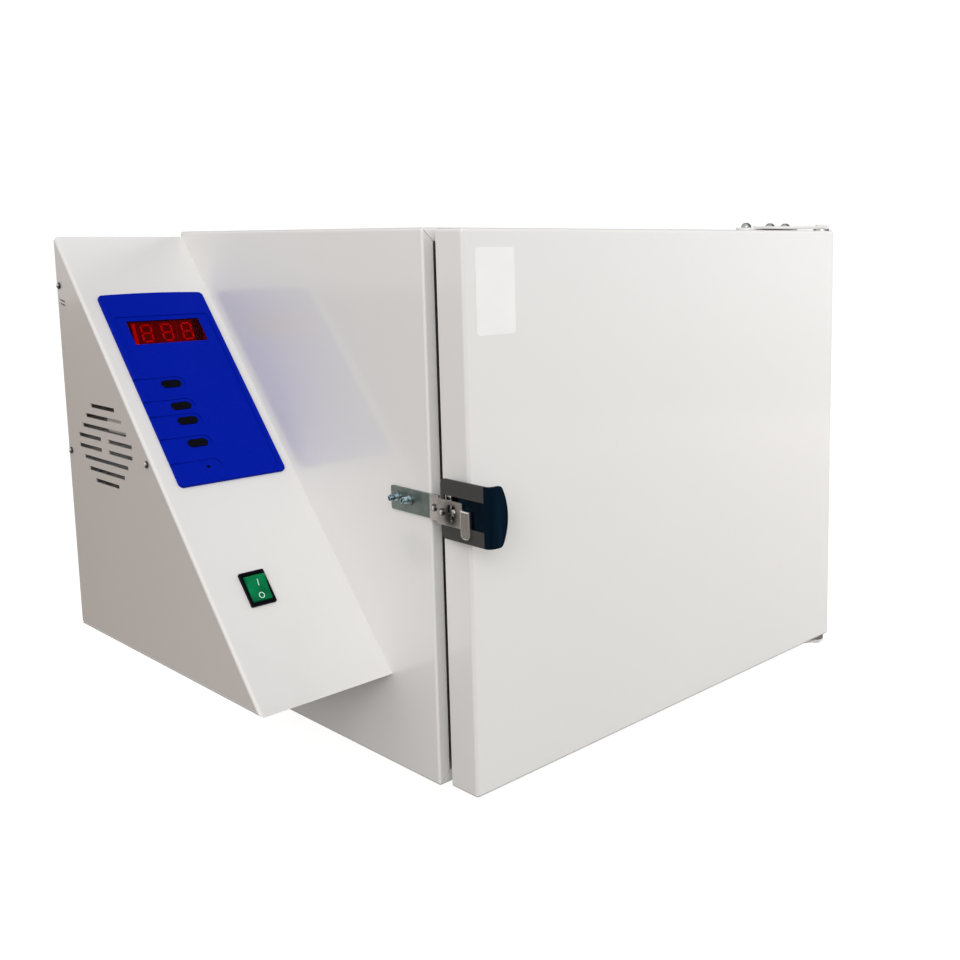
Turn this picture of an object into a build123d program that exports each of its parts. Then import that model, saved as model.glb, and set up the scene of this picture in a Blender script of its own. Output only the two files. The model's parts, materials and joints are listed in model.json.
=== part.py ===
from build123d import *
import os
from math import atan2, cos, pi, sin, sqrt, tan

# Laboratory drying oven, millimetres, +Z up, the door faces -Y.
# The model is drawn from the cabinet's front left bottom corner. At the end everything is
# moved so that the origin is the middle of the whole oven's outline, at floor level.

# Cabinet
body_w = 358.0
body_h = 320.0
body_d = 277.0
foot_h = 10.0
sheet = 1.0
bend_r = 1.8
front_lip = 7.2
mitre_gap = 0.3
back_lip = 12.0
fit_gap = 0.3

# Heated chamber
chamber_w = 260.0
chamber_h = 216.0
chamber_lift = 52.0
liner_t = 1.0
wool_gap = 0.4
rack_levels = (125.0, 190.0)
rack_ledge = 10.0
rack_len = 180.0
rack_front = 16.0
rack_back = 15.0
shelf_front = 14.0
shelf_back = 8.0
shelf_rod_r = 2.0
shelf_wire_r = 1.25
shelf_wires = 11

# Heater, probe and vent
heater_r = 3.25
bushing_r = 7.0
heater_pitch = 30.0
heater_runs = 4
heater_lift = 13.0
heater_front = 83.0
heater_turn = 34.0
heater_tail = 22.0
baffle_lift = 28.0
probe_r = 2.5
probe_reach = 55.0
probe_lift = 100.0
probe_pitch = 27.0
probe_collar = 6.0
cutout_r = 9.0
cutout_lift = 82.0
window_rim = 6.6
vent_r = 7.0
vent_wall = 1.0
vent_stub = 6.0

# Door
door_gap = 9.2
door_t = 22.4
door_left = 2.0
door_low = 2.0
door_high = 0.4
door_lip = 30.0
door_bend_r = 2.0
inner_t = 0.8
inner_inset = 5.0
plug_inset = 48.0
plug_h = 5.0
seal_inset = 11.0
seal_w = 9.0
seal_bore_r = 2.0
inner_screw_inset = 25.5

# Hinges
hinge_pin_r = 3.0
hinge_pin_x = 8.0
hinge_pin_y = 25.0
hinge_pin_in = 12.0
hinge_t = 1.8
hinge_lift = 1.0
hinge_screw_x = (57.0, 27.0, 7.0)
hinge_screw_y = 9.0
hinge_clear = 0.05
hinge_end_r = 7.5
hinge_head_r = 3.75
hinge_head_h = 3.7
bush_wall = 2.0
bush_len = 8.0

# Control box on the left
box_w = 84.0
box_low = 57.0
box_front = 43.0
box_top_drop = 2.2
box_lip = 2.2
frame_ring = 12.0
slot_pitch = 6.9
slot_h = 2.6
slot_bridge = 4.7
# Shares of the box's depth and height, so that the side keeps its pattern at any size
slot_place = (0.7607, 0.4942)
slot_half = (0.168, 0.1385, 0.1132, 0.0752)
side_screw_back = 3.8
side_screw_share = (0.8746, 0.4601)
slope_screw_share = 0.5103
slope_screw_drop = 8.6
thin_slot_share = 0.8378
thin_slot_w = 9.0
thin_slot_h = 1.0
thin_slot_pitch = 2.4
thin_slot_back = 2.0
thin_slot_fall = 10.0
side_head_r = 2.2
side_head_h = 1.8

# Control panel on the slanted face
fascia_w = 68.6
fascia_l = 149.0
fascia_t = 2.0
fascia_u = -40.2
fascia_s = 149.0
fascia_r = 3.2
fascia_bow = 1.0
fascia_edge_r = 0.8
fascia_overlap = 5.0
field_rim = 3.5
field_l = 126.0
field_r = 2.5
field_step = 0.6
tab_step = 0.4
tab_h = 10.2
tab_end = -44.0
window_w = 47.2
window_l = 18.8
window_s = 256.2
button_w = 12.4
button_l = 5.6
button_gap = 0.2
button_travel = 0.5
button_proud = 0.5
button_skirt = 1.0
button_stem_r = 1.5
key_h = 4.3
button_u = -52.7
button_s = (224.2, 206.9, 195.5, 178.5)
led_s = 160.5
led_hole_r = 1.2
board_depth = 13.0
board_t = 1.6
board_corner = (25.0, 64.0)
lens_t = 1.0
lens_h = 0.8
display_w = 50.0
display_l = 19.0
display_h = 8.0

# Mains switch on the slanted face
switch_u = -56.0
switch_s = 74.8
bezel_w = 15.4
bezel_l = 22.2
bezel_t = 1.8
bezel_r = 0.8
rocker_w = 12.0
rocker_l = 17.0
rocker_tilt = 10.0
rocker_gap = 0.3
rocker_end_gap = 0.5
rocker_axis_h = -1.6
rocker_stub_r = 1.0
switch_w = 13.8
switch_l = 19.0
switch_depth = 15.0

# Door latch
latch_z = 166.5
strap_l = 35.0
strap_h = 13.8
strap_t = 1.5
strap_nose = 8.5
stud_y = (28.8, 17.3)
stud_r = 2.0
stud_l = 5.8
keeper_t = 0.8
keeper_h = 14.4
keeper_back = 2.2
keeper_front = 34.5
finger_w = 7.0
finger_h = 15.6
finger_low = 12.2
latch_pin_r = 1.0
latch_pin_y = 19.5
lug_r = 1.8
latch_gap = 0.3
bracket_t = 1.0
bracket_screw_y = -26.5
rivet_y = (-6.4, -17.6)
rivet_r = 1.3
ring_r = 3.3
handle_t = 1.2
handle_h = 33.5
handle_back = 15.0
handle_front = 56.0
handle_reach = 8.3
handle_bend = 4.0
handle_bow = 4.2
handle_corner_r = 3.0
handle_z = 168.2
handle_opening = 30.0
handle_sink = 0.7

# Values that follow from the sizes above
floor_z = foot_h
top_z = foot_h + body_h
door_back = -door_gap
door_front = -door_gap - door_t
door_bottom = floor_z + door_low
door_top = top_z - door_high
chamber_x0 = (body_w - chamber_w) / 2
chamber_x1 = chamber_x0 + chamber_w
chamber_z0 = floor_z + chamber_lift
chamber_z1 = chamber_z0 + chamber_h
liner_y0 = sheet
chamber_d = rack_front + rack_len + rack_back
chamber_y1 = liner_y0 + chamber_d
box_z0 = floor_z + box_low
box_z1 = top_z - box_top_drop
box_d = body_d - box_front
box_h = box_z1 - box_z0
slant = atan2(box_h, box_d)
slant_plane = Plane(
    origin=(0, box_front, box_z0), x_dir=(1, 0, 0), z_dir=(0, -sin(slant), cos(slant))
)
heater_z = chamber_z0 + heater_lift
heater_y0 = liner_y0 + heater_front
probe_z = chamber_z0 + probe_lift
cutout_z = chamber_z0 + cutout_lift
cutout_y = box_front + (probe_z + 8 - box_z0) / tan(slant) + window_rim + cutout_r + 2
probe_y = cutout_y + probe_pitch
vent_x = body_w / 2
vent_z = chamber_z1 - 22
slot_y = box_front + slot_place[0] * box_d
slot_z = box_z0 + slot_place[1] * box_h
power_x = -12.0
power_y = body_d - 44
gland_at = (-box_w / 2, box_z0 + 27)
gland_bore = 3.75
gland_thread = 7.5
panel_mid_s = fascia_s + fascia_l / 2
window_mid_s = window_s + window_l / 2
tab_floor = fascia_t - field_step - tab_step
button_top = tab_floor + button_proud
pin_x = body_w - hinge_pin_x
pin_y = -hinge_pin_y
latch_mid = floor_z + latch_z
latch_pin_x = door_left - bracket_t - latch_gap - lug_r
handle_in = latch_pin_x - lug_r - latch_gap
handle_out = handle_in - handle_t
keeper_in = handle_out - latch_gap
keeper_out = keeper_in - keeper_t
handle_mid = floor_z + handle_z
window_z0 = latch_mid - 6.5
window_z1 = latch_mid + 9.5


def block(x0, x1, y0, y1, z0, z1):
    """Box between two corners."""
    size = (x1 - x0, y1 - y0, z1 - z0)
    return Pos((x0 + x1) / 2, (y0 + y1) / 2, (z0 + z1) / 2) * Box(*size)


def rod(start, end, r):
    """Round bar from one point to another."""
    line = Vector(*end) - Vector(*start)
    return Plane(origin=start, z_dir=line) * Cylinder(
        r, line.length, align=(Align.CENTER, Align.CENTER, Align.MIN)
    )


def pan_screw(head_at, out, head_r, head_h, shank_r, shank_l):
    """Domed screw: its head's seat is at head_at, and out points away from the work."""
    rim = head_h * 0.35
    cap = head_h - rim
    ball_r = (head_r**2 + cap**2) / (2 * cap)
    half_way = (head_r / 2, head_h - ball_r + sqrt(ball_r**2 - head_r**2 / 4))
    profile = make_face(
        Polyline((0, head_h), (0, -shank_l), (shank_r, -shank_l), (shank_r, 0), (head_r, 0), (head_r, rim))
        + ThreePointArc((head_r, rim), half_way, (0, head_h))
    )
    return Plane(origin=head_at, z_dir=out) * revolve(Plane.XZ * profile, Axis.Z)


def on_slant(u, s, h):
    """Place on the slanted face: across, up the slope, and out of the face."""
    return slant_plane * Pos(u, s, h)


# Cabinet shell


def make_casing():
    """Wrapped sheet casing: four walls, a mitred front lip and a back lip."""
    outer = block(0, body_w, 0, body_d, floor_z, top_z)
    long_edges = outer.edges().filter_by(Axis.Y)
    outer = fillet(long_edges, bend_r)
    outer = fillet(outer.faces().sort_by(Axis.Y)[0].edges(), bend_r * 0.8)
    inner = block(sheet, body_w - sheet, sheet, body_d, floor_z + sheet, top_z - sheet)
    inner = fillet(inner.edges().filter_by(Axis.Y), bend_r - sheet)
    mouth = block(
        front_lip, body_w - front_lip, -1, sheet + 1, floor_z + front_lip, top_z - front_lip
    )
    case = outer - inner - mouth
    uncut = 1.2
    for x, z, turn in (
        (0, floor_z, 45), (body_w, floor_z, -45), (0, top_z, -45), (body_w, top_z, 45)
    ):
        slit = Pos(x, sheet / 2, z) * Rot(0, -turn, 0) * Box(3 * front_lip, sheet + 0.02, mitre_gap)
        case -= slit - Pos(x, sheet / 2, z) * Box(2 * uncut, 3 * sheet, 2 * uncut)
    lip_y = body_d - 2 * sheet
    lip = block(sheet, body_w - sheet, lip_y, lip_y + sheet, floor_z + sheet, top_z - sheet)
    lip -= block(
        back_lip, body_w - back_lip, lip_y - 1, lip_y + 2, floor_z + back_lip, top_z - back_lip
    )
    case += lip
    for x in hinge_screw_x:
        case -= rod((body_w - x, hinge_screw_y, top_z - 3), (body_w - x, hinge_screw_y, top_z + 1), 2.05)
        case -= rod((body_w - x, hinge_screw_y, floor_z - 1), (body_w - x, hinge_screw_y, floor_z + 3), 2.05)
    for x, y in foot_places():
        case -= rod((x, y, floor_z - 1), (x, y, floor_z + 3), 2.05)
    for x, z in back_screw_places():
        case -= rod((x, body_d - 4, z), (x, body_d + 1, z), 1.55)
    return case - wire_window(-1, sheet + 1)


def wire_window(x0, x1):
    """Opening in the cabinet's left wall for the wires, the probe and the heater's ends."""
    y0, y1 = heater_ends()[0] - bushing_r - 1, probe_y + 10
    hole = block(x0, x1, y0, y1, heater_z - bushing_r + 2, heater_z + 19)
    top = probe_z + 8
    return hole + block(x0, x1, cutout_y - cutout_r - 2, y1, cutout_z - cutout_r - 3, top)


def foot_places():
    inset_x, inset_y = 34, 36
    return [(x, y) for x in (inset_x, body_w - inset_x) for y in (inset_y, body_d - inset_y)]


def back_screw_places():
    edge = back_lip / 2 + 1
    xs = (edge, body_w / 2, body_w - edge)
    zs = (floor_z + edge, (floor_z + top_z) / 2, top_z - edge)
    return [(x, z) for x in xs for z in zs if not (x == xs[1] and z == zs[1])]


def make_back_panel():
    """Flat back cover, let in flush between the casing's walls."""
    gap = sheet + fit_gap
    plate = block(gap, body_w - gap, body_d - sheet, body_d, floor_z + gap, top_z - gap)
    for x, z in back_screw_places():
        plate -= rod((x, body_d - 3, z), (x, body_d + 1, z), 1.6)
    return plate - rod((vent_x, body_d - 3, vent_z), (vent_x, body_d + 1, vent_z), vent_r + vent_wall + fit_gap)


def make_back_screws():
    return Compound([
        pan_screw((x, body_d, z), (0, 1, 0), 2.8, 1.9, 1.5, 5) for x, z in back_screw_places()
    ])


def make_feet():
    feet = []
    for x, y in foot_places():
        profile = Plane.XZ * make_face(
            Polyline((0, 0), (9, 0), (10.5, foot_h), (0, foot_h), (0, 0))
        )
        foot = Pos(x, y, 0) * revolve(profile, Axis.Z)
        foot = fillet(foot.edges().filter_by(GeomType.CIRCLE).sort_by(Axis.Z)[0], 1.0)
        foot -= rod((x, y, -1), (x, y, foot_h - 3), 4.3)
        foot -= rod((x, y, -1), (x, y, foot_h + 1), 2.1)
        feet.append(foot)
    return Compound(feet)


def make_foot_screws():
    return Compound([
        pan_screw((x, y, foot_h - 3), (0, 0, -1), 3.8, 2.4, 2.0, 10) for x, y in foot_places()
    ])


# Chamber and its fittings


def make_liner():
    """Stainless chamber: a five-sided box with a flange behind the casing's front lip."""
    t = liner_t
    tub = block(chamber_x0 - t, chamber_x1 + t, liner_y0, chamber_y1 + t, chamber_z0 - t, chamber_z1 + t)
    room = block(chamber_x0, chamber_x1, liner_y0 - 1, chamber_y1, chamber_z0, chamber_z1)
    room = fillet(room.edges().filter_by(Axis.Y), 6)
    edge = 3.0
    flange = block(edge, body_w - edge, liner_y0, liner_y0 + t, floor_z + edge, top_z - edge)
    tub = fillet(tub.edges().filter_by(Axis.Y), 6 + t)
    liner = tub + flange - room
    for y in heater_ends():
        liner -= rod((chamber_x0 - 5, y, heater_z), (chamber_x0 + 5, y, heater_z), heater_r + 0.1)
    liner -= rod((chamber_x0 - 5, probe_y, probe_z), (chamber_x0 + 5, probe_y, probe_z), probe_r + 0.1)
    return liner - rod((vent_x, chamber_y1 - 3, vent_z), (vent_x, chamber_y1 + 3, vent_z), vent_r + vent_wall + 0.1)


def heater_ends():
    return (heater_y0, heater_y0 + heater_pitch * (heater_runs - 1))


def make_insulation():
    """Mineral wool wrapped round the chamber, drawn as one block with its passages."""
    gap = wool_gap
    block_y0 = liner_y0 + liner_t + gap
    wool = block(
        sheet + gap, body_w - sheet - gap, block_y0, body_d - 2 * sheet - gap,
        floor_z + sheet + gap, top_z - sheet - gap
    )
    grow = liner_t + gap
    core = block(
        chamber_x0 - grow, chamber_x1 + grow, 0, chamber_y1 + grow, chamber_z0 - grow, chamber_z1 + grow
    )
    wool -= fillet(core.edges().filter_by(Axis.Y), 6)
    for x, y in foot_places():
        wool -= rod((x, y, floor_z), (x, y, floor_z + 9), 3)
    for x in hinge_screw_x:
        wool -= rod((body_w - x, hinge_screw_y, top_z - 9), (body_w - x, hinge_screw_y, top_z), 3)
        wool -= rod((body_w - x, hinge_screw_y, floor_z), (body_w - x, hinge_screw_y, floor_z + 9), 3)
    for x, z in back_screw_places():
        wool -= rod((x, body_d - 8, z), (x, body_d, z), 2.5)
    for y in heater_ends():
        wool -= rod((0, y, heater_z), (chamber_x0, y, heater_z), bushing_r + gap)
    wool -= rod((0, probe_y, probe_z), (chamber_x0, probe_y, probe_z), probe_collar + gap)
    wool -= rod((0, cutout_y, cutout_z), (chamber_x0, cutout_y, cutout_z), cutout_r + gap)
    return wool - rod((vent_x, chamber_y1 - 3, vent_z), (vent_x, body_d, vent_z), vent_r + vent_wall + gap)


def make_heater():
    """Tubular heater bent to a flat serpentine over the chamber's floor."""
    left = chamber_x0 + heater_turn
    right = chamber_x1 - heater_turn
    start = heater_tail
    y = heater_y0
    path = []
    x = start
    for run in range(heater_runs):
        forward = run % 2 == 0
        last = run == heater_runs - 1
        turn = right if forward else (start if last else left)
        path.append(Line((x, y, heater_z), (turn, y, heater_z)))
        x = turn
        if not last:
            bulge = heater_pitch / 2 * (1 if forward else -1)
            path.append(ThreePointArc(
                (x, y, heater_z), (x + bulge, y + heater_pitch / 2, heater_z), (x, y + heater_pitch, heater_z)
            ))
            y += heater_pitch
    spine = Wire(path)
    tube = sweep(Plane(origin=(start, heater_y0, heater_z), z_dir=(1, 0, 0)) * Circle(heater_r), path=spine)
    for end_y in heater_ends():
        tube += rod((start - 14, end_y, heater_z), (start, end_y, heater_z), 1.6)
    return tube


def make_heater_bushings():
    """Collars that seal the heater's ends where they pass the chamber's wall."""
    rings = []
    for y in heater_ends():
        x1 = chamber_x0 - liner_t
        collar = rod((x1 - 8, y, heater_z), (x1, y, heater_z), bushing_r - 1.5)
        collar += rod((x1 - 3, y, heater_z), (x1, y, heater_z), bushing_r)
        rings.append(collar - rod((x1 - 9, y, heater_z), (x1 + 1, y, heater_z), heater_r + 0.1))
    return Compound(rings)


def make_baffle():
    """Slotted false floor over the heater, with its front and back edges turned down."""
    side = 1.0
    x0, x1 = chamber_x0 + side, chamber_x1 - side
    y0, y1 = liner_y0 + 14, chamber_y1 - 4
    top = chamber_z0 + baffle_lift
    deck = block(x0, x1, y0, y1, top - 1, top)
    deck += block(x0 + 8, x1 - 8, y0, y0 + 1, chamber_z0, top)
    deck += block(x0 + 8, x1 - 8, y1 - 1, y1, chamber_z0, top)
    columns, rows = 3, 7
    for i in range(columns):
        for j in range(rows):
            x = x0 + (x1 - x0) * (i + 0.5) / columns
            y = y0 + (y1 - y0) * (j + 0.5) / rows
            deck -= Pos(x, y, top) * extrude(SlotOverall(60, 6), 3, both=True)
    slots = 9
    for i in range(slots):
        x = x0 + (x1 - x0) * (i + 0.5) / slots
        deck -= block(x - 8, x + 8, y0 - 1, y0 + 2, chamber_z0 + 8, chamber_z0 + 18)
    return deck


def make_racks():
    """Four angle runners on the chamber's side walls."""
    y0 = liner_y0 + rack_front
    y1 = y0 + rack_len
    runners = []
    for level in rack_levels:
        z = floor_z + level
        for wall, way in ((chamber_x0, 1), (chamber_x1, -1)):
            a, b = sorted((wall, wall + way * liner_t))
            c, d = sorted((wall, wall + way * rack_ledge))
            leg = block(a, b, y0, y1, z, z + rack_ledge)
            runners.append(leg + block(c, d, y0, y1, z - liner_t, z))
    return Compound(runners)


def make_shelf(level):
    """Wire shelf: a round rod frame with lengthwise wires and two cross stays."""
    z = floor_z + level + shelf_rod_r + 0.1
    side = 2.5 + shelf_rod_r
    x0, x1 = chamber_x0 + side, chamber_x1 - side
    y0, y1 = liner_y0 + shelf_front, chamber_y1 - shelf_back
    corner_r = 9.0
    middle = Pos((x0 + x1) / 2, (y0 + y1) / 2, z)
    spine = (middle * RectangleRounded(x1 - x0, y1 - y0, corner_r)).face().outer_wire()
    start = spine.position_at(0)
    shelf = sweep(Plane(origin=start, z_dir=spine.tangent_at(0)) * Circle(shelf_rod_r), path=spine)
    for i in range(shelf_wires):
        x = x0 + (x1 - x0) * (i + 1) / (shelf_wires + 1)
        shelf += rod((x, y0, z), (x, y1, z), shelf_wire_r)
    stays = 2
    for i in range(stays):
        y = y0 + (y1 - y0) * (i + 1) / (stays + 1)
        shelf += rod((x0, y, z), (x1, y, z), shelf_wire_r)
    return shelf


def make_probe():
    """Temperature probe through the left wall, with a domed tip and a hexagon collar."""
    tip = chamber_x0 + probe_reach
    probe = rod((8, probe_y, probe_z), (tip, probe_y, probe_z), probe_r)
    probe += Pos(tip, probe_y, probe_z) * Sphere(probe_r)
    nut = Plane(origin=(chamber_x0 - liner_t - 5, probe_y, probe_z), z_dir=(1, 0, 0))
    hexagon = nut * RegularPolygon(probe_collar - 0.5, 6)
    return probe + extrude(hexagon, 5)


def make_cutout():
    """Disc thermostat that cuts the heater off, seated on the chamber's left wall."""
    x1 = chamber_x0 - liner_t
    disc = rod((x1 - 4, cutout_y, cutout_z), (x1, cutout_y, cutout_z), cutout_r - 0.5)
    disc += rod((x1 - 12, cutout_y, cutout_z), (x1, cutout_y, cutout_z), cutout_r - 2.5)
    for side in (-3.5, 3.5):
        disc += block(
            x1 - 20, x1 - 10, cutout_y + side - 0.4, cutout_y + side + 0.4, cutout_z - 2.4, cutout_z + 2.4
        )
    return disc


def make_vent():
    """Vent pipe from the chamber's back wall out through the back cover."""
    y0, y1 = chamber_y1, body_d + vent_stub
    pipe = rod((vent_x, y0, vent_z), (vent_x, y1, vent_z), vent_r + vent_wall)
    pipe += rod((vent_x, y0 - 1, vent_z), (vent_x, y0, vent_z), vent_r + 4)
    return pipe - rod((vent_x, y0 - 2, vent_z), (vent_x, y1 + 1, vent_z), vent_r)


# Door


def make_door_shell():
    """Pressed door pan with rounded front edges and a lip turned in at the back."""
    outer = block(door_left, body_w, door_front, door_back, door_bottom, door_top)
    outer = fillet(outer.edges().filter_by(Axis.Y), door_bend_r)
    outer = fillet(outer.faces().sort_by(Axis.Y)[0].edges(), door_bend_r * 0.95)
    inner = block(
        door_left + sheet, body_w - sheet, door_front + sheet, door_back - sheet,
        door_bottom + sheet, door_top - sheet
    )
    mouth = block(
        door_left + door_lip, body_w - door_lip, door_back - 3, door_back + 1,
        door_bottom + door_lip, door_top - door_lip
    )
    pan = outer - inner - mouth
    bush = hinge_pin_r + hinge_clear + bush_wall
    pan -= rod((pin_x, pin_y, door_bottom - 1), (pin_x, pin_y, door_bottom + 2), bush)
    pan -= rod((pin_x, pin_y, door_top - 2), (pin_x, pin_y, door_top + 1), bush)
    for x, z in inner_screw_places():
        pan -= rod((x, door_back - 3, z), (x, door_back + 1, z), 1.3)
    for z in bracket_screw_places():
        pan -= rod((door_left - 1, bracket_screw_y, z), (door_left + 3, bracket_screw_y, z), 1.5)
    return pan


def inner_screw_places():
    inset = inner_screw_inset
    xs = (door_left + inset, (door_left + body_w) / 2, body_w - inset)
    zs = (door_bottom + inset, (door_bottom + door_top) / 2, door_top - inset)
    return [(x, z) for x in xs for z in zs if not (x == xs[1] and z == zs[1])]


def make_inner_panel():
    """Inner door sheet with a raised centre that faces the chamber."""
    i = inner_inset
    x0, x1, z0, z1 = door_left + i, body_w - i, door_bottom + i, door_top - i
    plate = block(x0, x1, door_back, door_back + inner_t, z0, z1)
    plate = fillet(plate.edges().filter_by(Axis.Y), 3)
    p = plug_inset
    y_top = door_back + inner_t + plug_h
    raised = block(p, body_w - p, door_back, y_top, floor_z + p, top_z - p)
    raised = fillet(raised.edges().filter_by(Axis.Y), 8)
    raised = chamfer(raised.faces().sort_by(Axis.Y)[-1].edges(), plug_h * 0.5)
    hollow = block(
        p + inner_t, body_w - p - inner_t, door_back - 1, y_top - inner_t, floor_z + p + inner_t, top_z - p - inner_t
    )
    hollow = fillet(hollow.edges().filter_by(Axis.Y), 8 - inner_t)
    hollow = chamfer(hollow.faces().sort_by(Axis.Y)[-1].edges(), plug_h * 0.5)
    plate = plate + raised - hollow
    for x, z in inner_screw_places():
        plate -= rod((x, door_back - 1, z), (x, door_back + 2, z), 1.6)
    return plate


def make_inner_screws():
    return Compound([
        pan_screw((x, door_back + inner_t, z), (0, 1, 0), 2.7, 1.8, 1.25, 6) for x, z in inner_screw_places()
    ])


def make_door_wool():
    """Mineral wool block inside the door."""
    gap = wool_gap
    wool = block(
        door_left + sheet + gap, body_w - sheet - gap, door_front + sheet + gap, door_back - sheet - gap,
        door_bottom + sheet + gap, door_top - sheet - gap
    )
    reach = hinge_pin_in + 4
    for z0, z1 in ((door_bottom, door_bottom + reach), (door_top - reach, door_top)):
        wool -= block(pin_x - 9, body_w, pin_y - 9, pin_y + 9, z0, z1)
    for x, z in inner_screw_places():
        wool -= rod((x, door_back - 9, z), (x, door_back, z), 2)
    for z in bracket_screw_places():
        wool -= rod((door_left, bracket_screw_y, z), (door_left + 9, bracket_screw_y, z), 2.2)
    return wool


def make_seal():
    """Silicone door seal: a hollow ring stuck to the inner sheet, just short of the liner."""
    i = seal_inset
    y0, y1 = door_back + inner_t, liner_y0 - fit_gap
    x0, x1, z0, z1 = door_left + i, body_w - 2 - i, door_bottom + i, door_top - i
    mid = ((x0 + x1) / 2, (y0 + y1) / 2, (z0 + z1) / 2)
    r = 12.0
    ring = Plane(origin=mid, x_dir=(1, 0, 0), z_dir=(0, -1, 0))
    outer = ring * RectangleRounded(x1 - x0, z1 - z0, r)
    inner = ring * RectangleRounded(x1 - x0 - 2 * seal_w, z1 - z0 - 2 * seal_w, r - seal_w)
    seal = extrude(outer, (y1 - y0) / 2, both=True) - extrude(inner, y1 - y0, both=True)
    seal = fillet(seal.faces().sort_by(Axis.Y)[-1].edges(), 2.2)
    bore_w, bore_h = x1 - x0 - seal_w, z1 - z0 - seal_w
    spine = (ring * RectangleRounded(bore_w, bore_h, r - seal_w / 2)).face().outer_wire()
    start = spine.position_at(0)
    bore = sweep(Plane(origin=start, z_dir=spine.tangent_at(0)) * Circle(seal_bore_r), path=spine)
    return seal - bore


# Hinges


def hinge_outline():
    """Plan of a hinge plate: a pad on the cabinet and an arm that tapers to the pin."""
    end_x = body_w - hinge_screw_x[0]
    front, back = hinge_screw_y - hinge_end_r, hinge_screw_y + hinge_end_r
    right = body_w - sheet
    pad = make_face(
        Line((end_x, front), (right, front)) + Line((right, front), (right, back))
        + Line((right, back), (end_x, back))
        + ThreePointArc((end_x, back), (end_x - hinge_end_r, hinge_screw_y), (end_x, front))
    )
    eye_r = 2 * hinge_pin_r
    slope_r = eye_r * sin(pi / 4)
    arm = make_face(Polyline(
        (end_x, front), (right, front), (pin_x + eye_r, pin_y), (pin_x - slope_r, pin_y - slope_r), (end_x, front)
    ))
    return pad, arm + Pos(pin_x, pin_y) * Circle(eye_r)


def make_hinge_plate(top):
    """Joggled hinge plate for the cabinet's top or bottom."""
    pad, arm = hinge_outline()
    z = top_z if top else floor_z - hinge_t
    step = hinge_lift if top else -hinge_lift
    plate = Pos(0, 0, z) * extrude(pad, hinge_t)
    plate += Pos(0, 0, z + step) * extrude(arm, hinge_t)
    front = hinge_screw_y - hinge_end_r
    plate += block(
        body_w - hinge_screw_x[0], body_w - sheet, front, front + 1.5, min(z, z + step), max(z, z + step) + hinge_t
    )
    for x in hinge_screw_x:
        plate -= rod((body_w - x, hinge_screw_y, z - 2), (body_w - x, hinge_screw_y, z + hinge_t + 2), 2.1)
    return plate - rod((pin_x, pin_y, z - 3), (pin_x, pin_y, z + hinge_t + 3), hinge_pin_r)


def make_hinge_pins():
    """Pivot pins riveted into the plates, with a low head outside."""
    head = 1.2
    arm_top = top_z + hinge_lift + hinge_t
    upper = rod((pin_x, pin_y, door_top - hinge_pin_in), (pin_x, pin_y, arm_top), hinge_pin_r)
    upper += rod((pin_x, pin_y, arm_top), (pin_x, pin_y, arm_top + head), hinge_pin_r + 1.4)
    upper = fillet(upper.edges().filter_by(GeomType.CIRCLE).sort_by(Axis.Z)[-1], 0.8)
    arm_low = floor_z - hinge_lift - hinge_t
    lower = rod((pin_x, pin_y, arm_low), (pin_x, pin_y, door_bottom + hinge_pin_in), hinge_pin_r)
    lower += rod((pin_x, pin_y, arm_low - head), (pin_x, pin_y, arm_low), hinge_pin_r + 1.4)
    return Compound([upper, lower])


def make_hinge_screws():
    screws = []
    for seat, way in ((top_z + hinge_t, 1), (floor_z - hinge_t, -1)):
        for x in hinge_screw_x:
            screws.append(pan_screw(
                (body_w - x, hinge_screw_y, seat), (0, 0, way), hinge_head_r, hinge_head_h, 2.0, 9
            ))
    return Compound(screws)


def make_bushes():
    """Flanged bushes in the door's top and bottom that run on the hinge pins."""
    r = hinge_pin_r + hinge_clear
    wall = r + bush_wall - hinge_clear
    upper_face = top_z + hinge_lift - fit_gap
    upper = rod((pin_x, pin_y, door_top - bush_len), (pin_x, pin_y, door_top), wall)
    upper += rod((pin_x, pin_y, door_top), (pin_x, pin_y, upper_face), wall + 1)
    upper -= rod((pin_x, pin_y, door_top - bush_len - 1), (pin_x, pin_y, upper_face + 1), r)
    lower_face = floor_z - hinge_lift + 0.1
    lower = rod((pin_x, pin_y, door_bottom), (pin_x, pin_y, door_bottom + bush_len), wall)
    lower += rod((pin_x, pin_y, lower_face), (pin_x, pin_y, door_bottom), wall + 1)
    lower -= rod((pin_x, pin_y, lower_face - 1), (pin_x, pin_y, door_bottom + bush_len + 1), r)
    return Compound([upper, lower])


# Latch


def bracket_screw_places():
    return (latch_mid - 9.5, latch_mid + 12.0)


def make_strap():
    """Keeper strap along the cabinet's side, hung on two studs."""
    z0, z1 = latch_mid - strap_h / 2, latch_mid + strap_h / 2
    strap = block(-strap_t, 0, -strap_nose, strap_l, z0, z1)
    strap = fillet(strap.edges().filter_by(Axis.X).group_by(Axis.Y)[-1], 1.0)
    for y in stud_y:
        slot = Plane(origin=(0, y, latch_mid + 1), x_dir=(0, 1, 0), z_dir=(1, 0, 0)) * SlotOverall(6.5, 4.3)
        strap -= extrude(slot, 3, both=True)
    return strap - rod((-strap_t - 1, rivet_y[0], latch_mid), (1, rivet_y[0], latch_mid), 1.9)


def make_studs():
    """Threaded studs welded to the cabinet's side, with a hexagon socket in the end."""
    studs = []
    for y in stud_y:
        stud = rod((0, y, latch_mid + 1), (-strap_t - stud_l, y, latch_mid + 1), stud_r)
        stud = chamfer(stud.faces().sort_by(Axis.X)[0].edges(), 0.4)
        socket = Plane(origin=(-strap_t - stud_l, y, latch_mid + 1), z_dir=(1, 0, 0)) * RegularPolygon(1.15, 6)
        studs.append(stud - extrude(socket, 2.0))
    return Compound(studs)


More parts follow.
